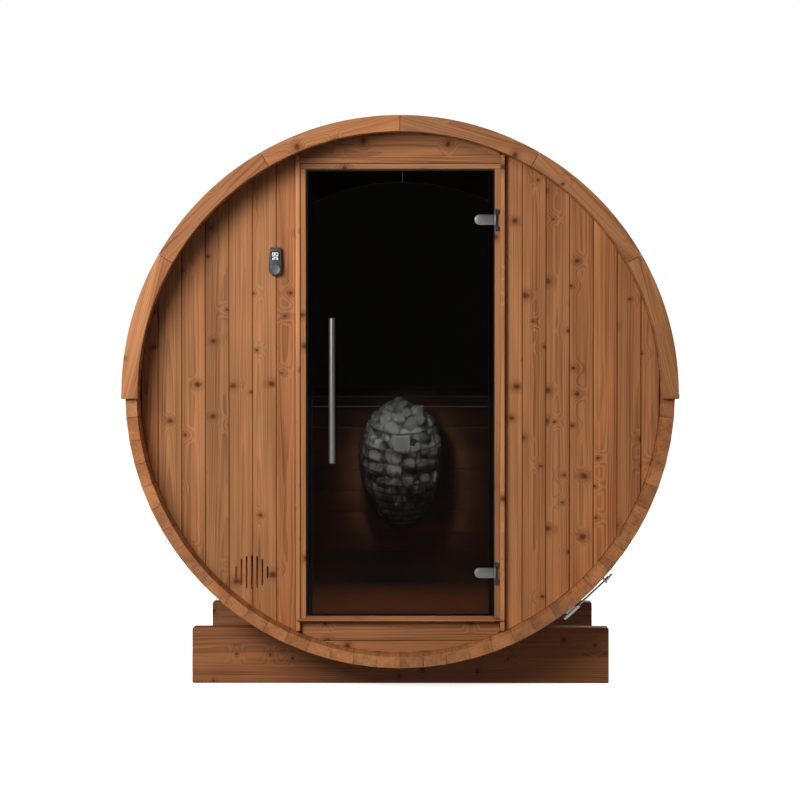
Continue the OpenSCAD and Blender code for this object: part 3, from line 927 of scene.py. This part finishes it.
class SAUNA_OT_door(bpy.types.Operator):
    """Hang the glass door with its handle and hinges"""
    bl_idname = "sauna.door"
    bl_label = "Door"

    def execute(self, context):
        self.pane()
        self.handle()
        for place in ("upper", "lower"):
            self.strap(place)
            self.leaf(place)
        return {"FINISHED"}

    def pane(self):
        lo, hi = low("door_glass"), high("door_glass")
        build = Build(seed=601)
        outline = eased(rectangle(lo.x, hi.x, lo.z, hi.z), 0.003)
        build.skin(prism(outline, lo.y, hi.y, 0.0012, front_on))
        build.finish("glass_pane", DOOR, ["door_glass"],
                     [tinted_glass("door_tint", 0.64, 0.0004, 0.04)])

    def handle(self):
        """A round bar with eased ends on two collared posts."""
        lo, hi = low("door_handle_bar"), high("door_handle_bar")
        centre = (lo + hi) / 2
        radius, half = (hi.x - lo.x) / 2, (hi.z - lo.z) / 2
        ease = 0.003
        build = Build(seed=607)
        rim = arc(ease, 90, 0, 3, (radius - ease, half - ease))
        profile = [(r, -h) for r, h in rim] + [(r, h) for r, h in reversed(rim)]
        build.turned(profile, centre, (0, 0, 1), 40)
        build.finish("handle_bar", DOOR, ["door_handle_bar"], [satin_metal()])
        posts = Build(seed=611)
        glass = low("door_glass").y
        post_r = (high("door_handle_posts").x - low("door_handle_posts").x) / 2
        for z in (low("door_handle_posts").z + post_r, high("door_handle_posts").z - post_r):
            reach = glass - centre.y - radius * 0.8
            profile = [(post_r + 0.004, 0.0), (post_r + 0.004, 0.0025), (post_r + 0.002, 0.0045),
                       (post_r, 0.005), (post_r, reach)]
            posts.turned(profile, (centre.x, glass, z), (0, -1, 0), 32)
        posts.finish("handle_posts", DOOR, ["door_handle_posts"], [satin_metal()])

    def strap(self, place):
        """The round-ended tongue, its sleeve and the clamp plate behind the glass."""
        node = f"hinge_strap_{place}"
        z = middle(node).z
        front = low("door_glass").y
        back = high("door_glass").y
        tip = low(node).x
        build = Build(seed=613)
        half = 0.0195
        end = HINGE.x - 0.006
        outline = arc(half, 90, 270, 14, (tip + half, z)) + [(end, z - half), (end, z + half)]
        build.skin(prism(outline, front - 0.009, front - 0.0002, 0.0016, front_on, 2))
        neck = rectangle(end - 0.0005, HINGE.x - 0.003, z - half, z + half)
        build.skin(prism(neck, front - 0.0082, front - 0.0012, 0.0004, front_on))
        build.turned([(0.0042, -0.0205), (0.005, -0.0198), (0.005, 0.0198), (0.0042, 0.0205)],
                     (HINGE.x, HINGE.y, z), (0, 0, 1), 24)
        plate = eased(rectangle(tip + 0.004, tip + 0.049, z - 0.018, z + 0.018), 0.006)
        build.skin(prism(plate, back + 0.0002, back + 0.0038, 0.001, front_on))
        screw = [(0.0058, 0), (0.0058, 0.0006), (0.0046, 0.0010), (0.0022, 0.0010), (0.0020, -0.001)]
        for x in (tip + 0.017, tip + 0.038):
            build.turned(screw, (x, back + 0.0028, z), (0, 1, 0), 20)
        build.finish(f"{place}_hinge_tongue", DOOR, [node], [satin_metal()])

    def leaf(self, place):
        """The fixed knuckles with their lugs on the jamb, and the pin's two caps."""
        node = f"hinge_leaf_{place}"
        z = middle(node).z
        half = (high(node).z - low(node).z) / 2
        build = Build(seed=617)
        for end in (-1, 1):
            inner, outer = sorted((end * 0.0215, end * (half - 0.001)))
            build.turned([(0.0043, inner), (0.005, inner + 0.0006), (0.005, outer - 0.0006), (0.0043, outer)],
                         (HINGE.x, HINGE.y, z), (0, 0, 1), 24)
            lug = eased(rectangle(HINGE.x + 0.001, high(node).x, HINGE.y - 0.0025, high(node).y), 0.0015)
            build.skin(prism(lug, z + inner + 0.0004, z + outer - 0.0004, 0.0005, upright))
            build.turned([(0.0032, 0.0), (0.0032, 0.0006), (0.002, 0.001)],
                         (HINGE.x, HINGE.y, z + end * (half - 0.001)), (0, 0, end), 20)
        build.turned([(0.0029, -0.022), (0.0029, 0.022)], (HINGE.x, HINGE.y, z), (0, 0, 1), 16)
        build.finish(f"{place}_hinge_knuckles", CABIN, [node],
                     [brushed("knuckle_metal", (0.045, 0.045, 0.045), 0.42)])


class SAUNA_OT_controller(bpy.types.Operator):
    """Make the wall unit with its display and knob"""
    bl_idname = "sauna.controller"
    bl_label = "Controller"

    SEGMENTS = {"0": "abcdef", "2": "abged", "5": "afgcd", "8": "abcdefg"}
    BARS = {
        "a": (0, 1, 1, 1), "b": (1, 0.5, 1, 1), "c": (1, 0, 1, 0.5), "d": (0, 0, 1, 0),
        "e": (0, 0, 0, 0.5), "f": (0, 0.5, 0, 1), "g": (0, 0.5, 1, 0.5),
    }

    def execute(self, context):
        lo, hi = low("control_panel"), high("control_panel")
        x, half = (lo.x + hi.x) / 2, (hi.x - lo.x) / 2
        self.case(lo, hi, x, half)
        self.screen(lo, hi, x)
        self.knob(lo)
        return {"FINISHED"}

    def case(self, lo, hi, x, half):
        """A slim case, a little narrower at its head, with a half-round foot."""
        head = half * 0.86
        corner = 0.008
        outline = (arc(half, 180, 360, 24, (x, lo.z + half))
                   + arc(corner, 0, 90, 6, (x + head - corner, hi.z - corner))
                   + arc(corner, 90, 180, 6, (x - head + corner, hi.z - corner)))
        build = Build(seed=701)
        build.skin(prism(outline, lo.y, hi.y, 0.0045, front_on, 4))
        build.finish("controller_case", CABIN, ["control_panel"],
                     [painted("charcoal_plastic", (0.007, 0.0085, 0.008), 0.55)], sharp=50)

    def screen(self, lo, hi, x):
        """A flush dark window with two rows of lit figures."""
        build = Build(seed=703)
        window = eased(rectangle(x - 0.0165, x + 0.0165, hi.z - 0.050, hi.z - 0.013), 0.004)
        window = eased(window, 0.0015, 20)
        build.skin(prism(window, lo.y - 0.0008, lo.y + 0.002, 0.0004, front_on))
        build.finish("controller_window", CABIN, [],
                     [painted("screen_gloss", (0.012, 0.014, 0.014), 0.14, 300.0, 0.01)])
        figures = Build(seed=705)
        for row, text in enumerate(("80", "25")):
            z = hi.z - 0.0295 - row * 0.0160
            for column, figure in enumerate(text):
                self.figure(figures, figure, x - 0.0115 + column * 0.0125, z, lo.y - 0.0009)
        figures.finish("controller_figures", CABIN, [], [lit_digits()])

    def figure(self, build, figure, x, z, y):
        """One seven-bar figure, its lower left corner at x and z."""
        wide, tall, bar = 0.0075, 0.0105, 0.0008
        for key in self.SEGMENTS[figure]:
            u0, v0, u1, v1 = self.BARS[key]
            box = rectangle(x + u0 * wide - bar, x + u1 * wide + bar,
                            z + v0 * tall - bar, z + v1 * tall + bar)
            build.skin(prism(box, y - 0.0003, y + 0.0004, 0.0001, front_on))

    def knob(self, lo):
        """A dished knob with a ribbed side and a pointer line."""
        node = "control_knob"
        centre = middle(node)
        radius = (high(node).x - low(node).x) / 2
        front, back = low(node).y, lo.y
        depth = back - front
        build = Build(seed=709)
        loops = []
        steps = 120
        profile = [(0.55, depth - 0.0004), (0.99, depth - 0.0006), (1.0, depth - 0.002), (1.0, 0.003),
                   (0.985, 0.0013), (0.94, 0.0004), (0.88, 0.0), (0.80, 0.0006), (0.45, 0.0011)]
        for k, (scale, deep) in enumerate(profile):
            rib = 0.00035 if k in (2, 3) else 0.0
            loop = []
            for i in range(steps):
                a = 2 * math.pi * i / steps
                r = radius * scale - (rib if i % 4 < 2 else 0.0)
                loop.append(Vector((centre.x + r * math.cos(a), front + deep, centre.z + r * math.sin(a))))
            loops.append(loop)
        build.skin(loops)
        pointer = rectangle(centre.x - 0.0007, centre.x + 0.0007, centre.z + 0.0105, centre.z + 0.0160)
        build.skin(prism(pointer, front + 0.0001, front + 0.0012, 0.0001, front_on))
        build.finish("controller_knob", KNOB, [node],
                     [painted("knob_plastic", (0.045, 0.050, 0.048), 0.45)])


class SAUNA_OT_rear_wall(bpy.types.Operator):
    """Board the rear wall and glaze its half-moon window"""
    bl_idname = "sauna.rear_wall"
    bl_label = "Rear wall"

    def execute(self, context):
        boards = context.scene.sauna_boards
        build = Build(seed=811)
        top = high("rear_wall_lower").z - AXIS_Z
        for v0, v1 in joints(-WALL_R + 0.004, top, boards.pitch):
            outline = [(u, v) for v, u in strip(v0 + boards.gap / 2, v1 - boards.gap / 2, WALL_R)]
            build.skin(prism(outline, *REAR_Y, boards.edge * 0.4, from_axis), *LEVEL)
        build.finish_wood("rear_wall_boards", "rear_wall_lower", timber())
        arch = Build(seed=821)
        window_r = high("rear_window_glass").x
        for i in range(6):
            a0, a1 = i * 30 + 0.03, i * 30 + 29.97
            curved_board(arch, window_r + 0.0003, WALL_R, a0, a1, *REAR_Y, 0.0025, 16)
        arch.finish_wood("rear_arch_boards", "rear_wall_arch", trim_timber())
        self.sill(boards)
        self.glass(window_r)
        return {"FINISHED"}

    def sill(self, boards):
        lo, hi = low("rear_window_sill"), high("rear_window_sill")
        build = Build(seed=823)
        outline = [(u, v) for v, u in strip(lo.z - AXIS_Z + 0.0004, hi.z - AXIS_Z - 0.0004, WALL_R)]
        build.skin(prism(outline, lo.y, hi.y, boards.edge * 0.4, from_axis), *LEVEL)
        build.finish_wood("rear_sill_board", "rear_window_sill", frame_timber())

    def glass(self, window_r):
        lo, hi = low("rear_window_glass"), high("rear_window_glass")
        build = Build(seed=827)
        build.skin(prism(arc(window_r - 0.0005, 0, 180, 72), lo.y, hi.y, 0.0012, from_axis))
        # The rear pane is nearly opaque, and its grey body colour is painted light standing in for the dim
        # view through the window.
        build.finish("rear_glass_pane", CABIN, ["rear_window_glass"],
                     [tinted_glass("rear_tint_painted_light", 0.90, 0.07, 0.4)])


class SAUNA_OT_floor(bpy.types.Operator):
    """Lay the floor boards on their bearers"""
    bl_idname = "sauna.floor"
    bl_label = "Floor"

    def execute(self, context):
        boards = context.scene.sauna_boards
        wood = timber("floor_timber", (0.95, 0.86, 0.76), 0.4)
        for number, place in enumerate(("front", "rear")):
            node = f"floor_panel_{place}"
            lo, hi = low(node), high(node)
            build = Build(seed=907 + number)
            ends = [math.sqrt(WALL_R ** 2 - (AXIS_Z - z) ** 2) for z in (lo.z, hi.z)]
            outline = [(-ends[0], lo.z), (ends[0], lo.z), (ends[1], hi.z), (-ends[1], hi.z)]
            for y0, y1 in joints(lo.y, hi.y, boards.pitch):
                build.skin(prism(outline, y0 + 0.002, y1 - 0.002, boards.edge, front_on),
                           along=(1, 0, 0), across=(0, 1, 0))
            build.finish_wood(f"{place}_floor_boards", node, wood)
        build = Build(seed=911)
        lo, hi = low("floor_bearers"), high("floor_bearers")
        width = 0.045
        for x in (lo.x, hi.x - width):
            outline = eased(rectangle(x, x + width, lo.z, hi.z), 0.002)
            build.skin(prism(outline, lo.y, hi.y, 0.002, front_on), (0, 1, 0), (1, 0, 0))
        build.finish_wood("bearer_beams", "floor_bearers", wood)
        return {"FINISHED"}


class SAUNA_OT_cradles(bpy.types.Operator):
    """Shape the two cradles that carry the barrel"""
    bl_idname = "sauna.cradles"
    bl_label = "Cradles"

    def execute(self, context):
        for number, place in enumerate(("front", "rear")):
            node = f"cradle_{place}"
            lo, hi = low(node), high(node)
            corner, ease = 0.008, 0.002
            notch_r = OUTER_R + 0.0003
            angle = math.degrees(math.asin((AXIS_Z - hi.z) / notch_r))
            outline = [(lo.x + ease, lo.z), (hi.x - ease, lo.z), (hi.x, lo.z + ease)]
            outline += arc(corner, 0, 90, 5, (hi.x - corner, hi.z - corner))
            outline += arc(notch_r, -angle, angle - 180, 40, (0.0, AXIS_Z))
            outline += arc(corner, 90, 180, 5, (lo.x + corner, hi.z - corner))
            outline += [(lo.x, lo.z + ease)]
            build = Build(seed=1003 + number * 4)
            build.skin(prism(outline, lo.y, hi.y, 0.004, front_on, 2), *LEVEL)
            # The cradles' darker, redder multiplier is partly the wood's own darker tone and partly painted
            # shade, where the barrel shades the beams.
            build.finish_wood(f"{place}_cradle_beam", node, timber("cradle_timber_with_painted_shade", (0.68, 0.62, 0.54), 0.5))
        return {"FINISHED"}


class SAUNA_OT_hoops(bpy.types.Operator):
    """Tension the steel hoops with threaded rods"""
    bl_idname = "sauna.hoops"
    bl_label = "Hoops"

    TURN = -47.2
    ROD_R = 0.0045
    ROD_OFF = 0.026
    TUBE_AT = -0.085
    PLATE_AT = 0.085
    THREAD = 0.00175

    def execute(self, context):
        for place in ("front", "rear"):
            dress(f"hoop_{place}", hoop_steel())
            self.tensioner(place)
        return {"FINISHED"}

    def tensioner(self, place):
        """A threaded rod through a tube lug and a plate lug, with nuts and washers."""
        y = middle(f"hoop_{place}").y
        turn = math.radians(self.TURN)
        out = Vector((math.cos(turn), 0, math.sin(turn)))
        up = Vector((-math.sin(turn), 0, math.cos(turn)))
        centre = Vector((0, y, AXIS_Z)) + out * (OUTER_R + self.ROD_OFF)
        build = Build(seed=1103)
        self.rod(build, centre, up)
        build.turned([(0.0062, -0.035), (0.0088, -0.035), (0.01, -0.0338), (0.01, 0.0338), (0.0088, 0.035),
                      (0.0062, 0.035)], centre + up * self.TUBE_AT, up, 32)
        build.turned([(0.006, -0.0009), (0.0115, -0.0009), (0.0115, 0.0009), (0.006, 0.0009)],
                     centre + up * (self.PLATE_AT + 0.0061), up, 28)
        for reach in (self.TUBE_AT - 0.0388, self.PLATE_AT + 0.0108, self.PLATE_AT + 0.0183):
            build.turned([(0.0075, -0.0036), (0.0088, -0.0026), (0.0088, 0.0026), (0.0075, 0.0036)],
                         centre + up * reach, up, 6)
        self.saddle(build, centre, out, up, self.TUBE_AT, 0.022, -0.006)
        self.saddle(build, centre, out, up, self.PLATE_AT + 0.001, 0.004, 0.011)
        build.finish(f"{place}_tensioner", CABIN, [f"tensioner_{place}"],
                     [brushed("rod_steel", (0.24, 0.235, 0.225), 0.36, (1.0, 1.0, 1.0))])

    def rod(self, build, centre, up):
        profile = [(self.ROD_R * 0.7, -0.125)]
        turns = int(0.248 / self.THREAD)
        for i in range(turns):
            height = -0.124 + i * self.THREAD
            profile += [(self.ROD_R * 0.87, height), (self.ROD_R, height + self.THREAD / 2)]
        profile += [(self.ROD_R * 0.7, 0.125)]
        build.turned(profile, centre, up, 14)

    def saddle(self, build, centre, out, up, reach, half, rise):
        """A bent plate that holds a lug down on the hoop."""
        foot, top = 0.0022 - self.ROD_OFF, 0.0052 - self.ROD_OFF
        flange = half + 0.012
        edge = [(foot, -flange), (top, -flange), (top, -half), (rise, -half),
                (rise, half), (top, half), (top, flange), (foot, flange)]
        outline = eased([(u, reach + v) for u, v in edge], 0.001)

        def beside_hoop(u, v, w):
            return centre + out * u + up * v + Vector((0, w, 0))
        build.skin(prism(outline, -0.0145, 0.0145, 0.001, beside_hoop))


class SAUNA_OT_heater(bpy.types.Operator):
    """Fill the wire cage with stones"""
    bl_idname = "sauna.heater"
    bl_label = "Heater"

    TILT = 23.0
    WIRE = 0.0025
    # Height of the mouth's rim above the cage's widest place
    MOUTH = 0.153
    # Least distance between two stones' middles, as a share of their sizes added up
    PACKED = 0.74

    def execute(self, context):
        heater = context.scene.sauna_heater
        self.centre = middle("heater_stones")
        self.cage(heater)
        self.stones(heater)
        dress("heater_bracket", cage_metal())
        self.badge()
        return {"FINISHED"}

    def egg(self, z):
        """The cage's radius at a height."""
        reach = HEATER_TOP - HEATER_WIDEST if z > HEATER_WIDEST else HEATER_WIDEST - HEATER_FOOT
        return HEATER_R * math.sqrt(max(0.0, 1 - ((z - HEATER_WIDEST) / reach) ** 2))

    def lean(self, z):
        """How much farther out than square the cage's skin is at a height."""
        step = 0.0005
        return math.hypot(1.0, (self.egg(z + step) - self.egg(z - step)) / (2 * step))

    def on_egg(self, z, angle, inset=0.0):
        radius = self.egg(z) - inset
        return Vector((self.centre.x + radius * math.cos(angle), self.centre.y + radius * math.sin(angle), z))

    def leaning_ring(self, z0, steps=72):
        """The line where a plane leaning forward cuts the egg."""
        rise = math.tan(math.radians(self.TILT))
        path = []
        for i in range(steps):
            angle = 2 * math.pi * i / steps
            z = z0
            for _ in range(60):
                z = 0.6 * z + 0.4 * (z0 + rise * self.egg(z) * math.sin(angle))
            path.append(self.on_egg(z, angle))
        return path

    def cage(self, heater):
        """Leaning rings on upright ribs, closed by a small pan at the foot."""
        wire = self.WIRE
        build = Build(seed=1201)
        rings = [HEATER_WIDEST + 0.081 - 0.0535 * i + 0.0015 * i * i for i in range(10)]
        for z in rings:
            build.wire(self.leaning_ring(z), wire, 8, closed=True)
        mouth = HEATER_WIDEST + self.MOUTH
        build.wire(self.leaning_ring(mouth), wire * 1.25, 10, closed=True)
        rise = math.tan(math.radians(self.TILT))
        for k in range(heater.ribs):
            angle = 2 * math.pi * (k + 0.5 * (heater.ribs % 2)) / heater.ribs - math.pi / 2
            path = []
            for i in range(41):
                t = i / 40
                z = HEATER_FOOT + 0.004 + (1.16 - HEATER_FOOT) * t ** 1.6
                limit = mouth + rise * self.egg(min(z, HEATER_TOP)) * math.sin(angle)
                if z > min(limit, HEATER_TOP - 0.004):
                    break
                path.append(self.on_egg(z, angle, wire * 1.6))
            build.wire(path, wire * 0.8, 6)
        pan = [(0.030, 0.0), (0.042, 0.004), (0.042, 0.008), (0.010, 0.009)]
        build.turned(pan, (self.centre.x, self.centre.y, HEATER_FOOT), (0, 0, 1), 32)
        build.finish("heater_cage", CABIN, ["heater_rings"], [cage_metal()])

    def stones(self, heater):
        """Broken stones packed against the cage in two layers, and heaped in its mouth."""
        rand = random.Random(77)
        build = Build(seed=1213)
        placed = []
        for layer, tries in ((0.0, 2600), (0.055, 1200)):
            for _ in range(tries):
                size = heater.stone * rand.uniform(0.72, 1.22)
                z = rand.uniform(HEATER_FOOT + size * 0.9, HEATER_TOP - size * 1.1)
                angle = rand.uniform(0, 2 * math.pi)
                inset = (0.006 + size * 1.10) * self.lean(z) + layer
                if self.egg(z) <= inset:
                    continue
                point = self.on_egg(z, angle, inset)
                if all((point - p).length > self.PACKED * (size + r) for p, r in placed):
                    placed.append((point, size))
        for point, size in placed:
            self.add_stone(build, rand, point, size)
        build.finish("heater_stones_heap", CABIN, ["heater_stones"], [stone()], sharp=26)

    def add_stone(self, build, rand, point, size):
        """A lump with flat broken faces and a rough skin."""
        lump = bmesh.ops.create_icosphere(build.mesh, subdivisions=3, radius=1.0)["verts"]
        cuts = []
        for _ in range(9):
            normal = Vector([rand.gauss(0, 1) for _ in range(3)]).normalized()
            cuts.append((normal, rand.uniform(0.62, 0.9)))
        squash = Vector([rand.uniform(0.85, 1.15) for _ in range(3)])
        turn = Matrix.Rotation(rand.uniform(0, math.pi), 3, Vector([rand.gauss(0, 1) for _ in range(3)]))
        shift = Vector([rand.uniform(-50, 50) for _ in range(3)])
        tone = Vector([rand.random() for _ in range(3)])
        for vert in lump:
            p = vert.co.copy()
            for normal, reach in cuts:
                over = p.dot(normal) - reach
                if over > 0:
                    p -= normal * over
            p *= 1 + 0.09 * noise.noise(p * 1.7 + shift) + 0.03 * noise.noise(p * 6 + shift)
            p = turn @ Vector([a * b for a, b in zip(p, squash)])
            vert.co = point + p * size
            vert[build.tone] = tone

    def badge(self):
        """A small plain plate that leans on the front of the cage, on two short legs."""
        node = "heater_plate"
        lo, hi = low(node), high(node)
        thick = 0.002
        slope = (hi.y - lo.y - thick) / (hi.z - lo.z)

        def leaning(u, v, w):
            return Vector((u, lo.y + (v - lo.z) * slope + w, v))
        leg, rim = 0.011, 0.005
        build = Build(seed=1217)
        outline = eased(eased(rectangle(lo.x, hi.x, lo.z + leg, hi.z), 0.006), 0.002, 20)
        build.skin(prism(outline, 0.0004, thick - 0.0001, 0.0005, leaning))
        build.material = 1
        build.skin(prism(inset(outline, rim), 0.0001, 0.0008, 0.0002, leaning))
        for x in (lo.x + 0.006, hi.x - 0.012):
            foot = rectangle(x, x + 0.006, lo.z, lo.z + leg + 0.001)
            build.skin(prism(foot, 0.0002, thick - 0.0002, 0.0004, leaning))
        build.finish("heater_badge", CABIN, [node],
                     [painted("badge_rim", (0.27, 0.27, 0.27)), painted("badge_field", (0.07, 0.07, 0.07))])


class SAUNA_OT_stage(bpy.types.Operator):
    """Set the pale floor, the soft lights and the camera"""
    bl_idname = "sauna.stage"
    bl_label = "Stage"

    CAMERA_X = 0.07
    AIM_Z = 1.0985

    def execute(self, context):
        look = context.scene.sauna_stage
        self.ground()
        self.sky(look)
        aim = Vector((0, low("staves_top_left").y, AXIS_Z))
        self.soft_light("key", (-2.3, -4.9, 2.8), aim, 2.1, look.key)
        self.soft_light("back", (3.4, 6.6, 4.2), aim, 3.2, look.key * 1.5)
        heap = middle("heater_stones")
        place = heap + Vector((-0.12, -0.95, 0.46))
        self.soft_light("heater_lamp", place, heap + Vector((0, 0, 0.03)), 0.2, look.lamp, 27)
        warm = (1.0, 0.62, 0.36)
        self.soft_light("cabin_lamp", (0, -0.42, 1.9), (0, -0.30, 0), 0.3, look.lamp * 5, 75, warm)
        self.camera(look)
        context.scene.view_settings.view_transform = "Standard"
        return {"FINISHED"}

    def ground(self):
        """A wide plain floor at ground level."""
        s = Shader("pale_floor", Roughness=0.9, Emission_Strength=0.87, Specular_IOR_Level=0.0)
        pale = s.mix(s.noise(s.place(), scale=0.4), (0.93, 0.93, 0.93), (0.96, 0.96, 0.96))
        s.surface(Base_Color=pale, Emission_Color=pale)
        mesh = bpy.data.meshes.new("ground")
        reach = 60
        corners = [(x, y, 0) for x, y in rectangle(-reach, reach, -reach, reach)]
        mesh.from_pydata(corners, [], [(0, 1, 2, 3)])
        mesh.materials.append(s.material)
        ground = bpy.data.objects.new("ground", mesh)
        ground.visible_diffuse = False
        bpy.context.scene.collection.objects.link(ground)

    def sky(self, look):
        """A white backdrop whose light comes from above, so that undersides stay dark."""
        world = bpy.data.worlds.new("studio")
        bpy.context.scene.world = world
        world.use_nodes = True
        tree = world.node_tree
        add, link = tree.nodes.new, tree.links.new
        plain = tree.nodes["Background"]
        plain.inputs["Color"].default_value = (1, 0.84, 0.62, 1)
        split = add("ShaderNodeSeparateXYZ")
        link(add("ShaderNodeTexCoord").outputs["Generated"], split.inputs[0])
        rise = add("ShaderNodeMapRange")
        for socket, value in {1: -0.35, 2: 0.75, 3: 0.12 * look.fill, 4: look.fill}.items():
            rise.inputs[socket].default_value = value
        link(split.outputs["Z"], rise.inputs[0])
        link(rise.outputs[0], plain.inputs["Strength"])
        seen = add("ShaderNodeBackground")
        seen.inputs["Color"].default_value = (1, 1, 1, 1)
        mix = add("ShaderNodeMixShader")
        link(add("ShaderNodeLightPath").outputs["Is Camera Ray"], mix.inputs[0])
        link(plain.outputs[0], mix.inputs[1])
        link(seen.outputs[0], mix.inputs[2])
        link(mix.outputs[0], tree.nodes["World Output"].inputs[0])

    def soft_light(self, name, place, aim, size, power, spread=180, colour=(1, 1, 1)):
        data = bpy.data.lights.new(name, "AREA")
        data.color = colour
        data.size = size
        data.energy = power
        data.spread = math.radians(spread)
        light = bpy.data.objects.new(name, data)
        light.location = place
        light.visible_camera = False
        light.rotation_euler = (Vector(aim) - Vector(place)).to_track_quat("-Z", "Y").to_euler()
        bpy.context.scene.collection.objects.link(light)

    def camera(self, look):
        """A long lens a little right of the middle, tipped slightly down."""
        front = low("staves_top_left").y
        data = bpy.data.cameras.new("camera")
        data.lens = look.lens
        data.sensor_width = 36
        data.clip_end = 200
        camera = bpy.data.objects.new("camera", data)
        camera.location = (self.CAMERA_X, front - look.distance, look.eye_height)
        aim = Vector((0, front, self.AIM_Z))
        camera.rotation_euler = (aim - camera.location).to_track_quat("-Z", "Y").to_euler()
        bpy.context.scene.collection.objects.link(camera)
        bpy.context.scene.camera = camera


OPERATORS = (
    SAUNA_OT_staves, SAUNA_OT_trim, SAUNA_OT_roof, SAUNA_OT_front_wall, SAUNA_OT_door_frame,
    SAUNA_OT_door, SAUNA_OT_controller, SAUNA_OT_rear_wall, SAUNA_OT_floor, SAUNA_OT_cradles,
    SAUNA_OT_hoops, SAUNA_OT_heater, SAUNA_OT_stage,
)


class SAUNA_PT_panel(bpy.types.Panel):
    """Lists what the add-on builds and its main sizes and colours"""
    bl_idname = "SAUNA_PT_panel"
    bl_label = "Barrel Sauna"
    bl_space_type = "VIEW_3D"
    bl_region_type = "UI"
    bl_category = "Barrel Sauna"

    def draw(self, context):
        for name in SETTINGS:
            settings = getattr(context.scene, name)
            box = self.layout.box()
            for key in settings.bl_rna.properties.keys():
                if key not in ("name", "rna_type"):
                    box.prop(settings, key)
        for operator in OPERATORS:
            self.layout.operator(operator.bl_idname)


SETTINGS = {
    "sauna_timber": TimberSettings,
    "sauna_boards": BoardSettings,
    "sauna_roof": RoofSettings,
    "sauna_heater": HeaterSettings,
    "sauna_stage": StageSettings,
}


def register():
    for group in SETTINGS.values():
        bpy.utils.register_class(group)
    for name, group in SETTINGS.items():
        setattr(bpy.types.Scene, name, PointerProperty(type=group))
    for operator in OPERATORS:
        bpy.utils.register_class(operator)
    bpy.utils.register_class(SAUNA_PT_panel)


def unregister():
    bpy.utils.unregister_class(SAUNA_PT_panel)
    for operator in reversed(OPERATORS):
        bpy.utils.unregister_class(operator)
    for name in SETTINGS:
        delattr(bpy.types.Scene, name)
    for group in reversed(list(SETTINGS.values())):
        bpy.utils.unregister_class(group)


def main():
    register()
    for operator in OPERATORS:
        group, name = operator.bl_idname.split(".")
        getattr(getattr(bpy.ops, group), name)()
    bpy.context.view_layer.update()


if __name__ == "__main__":
    main()
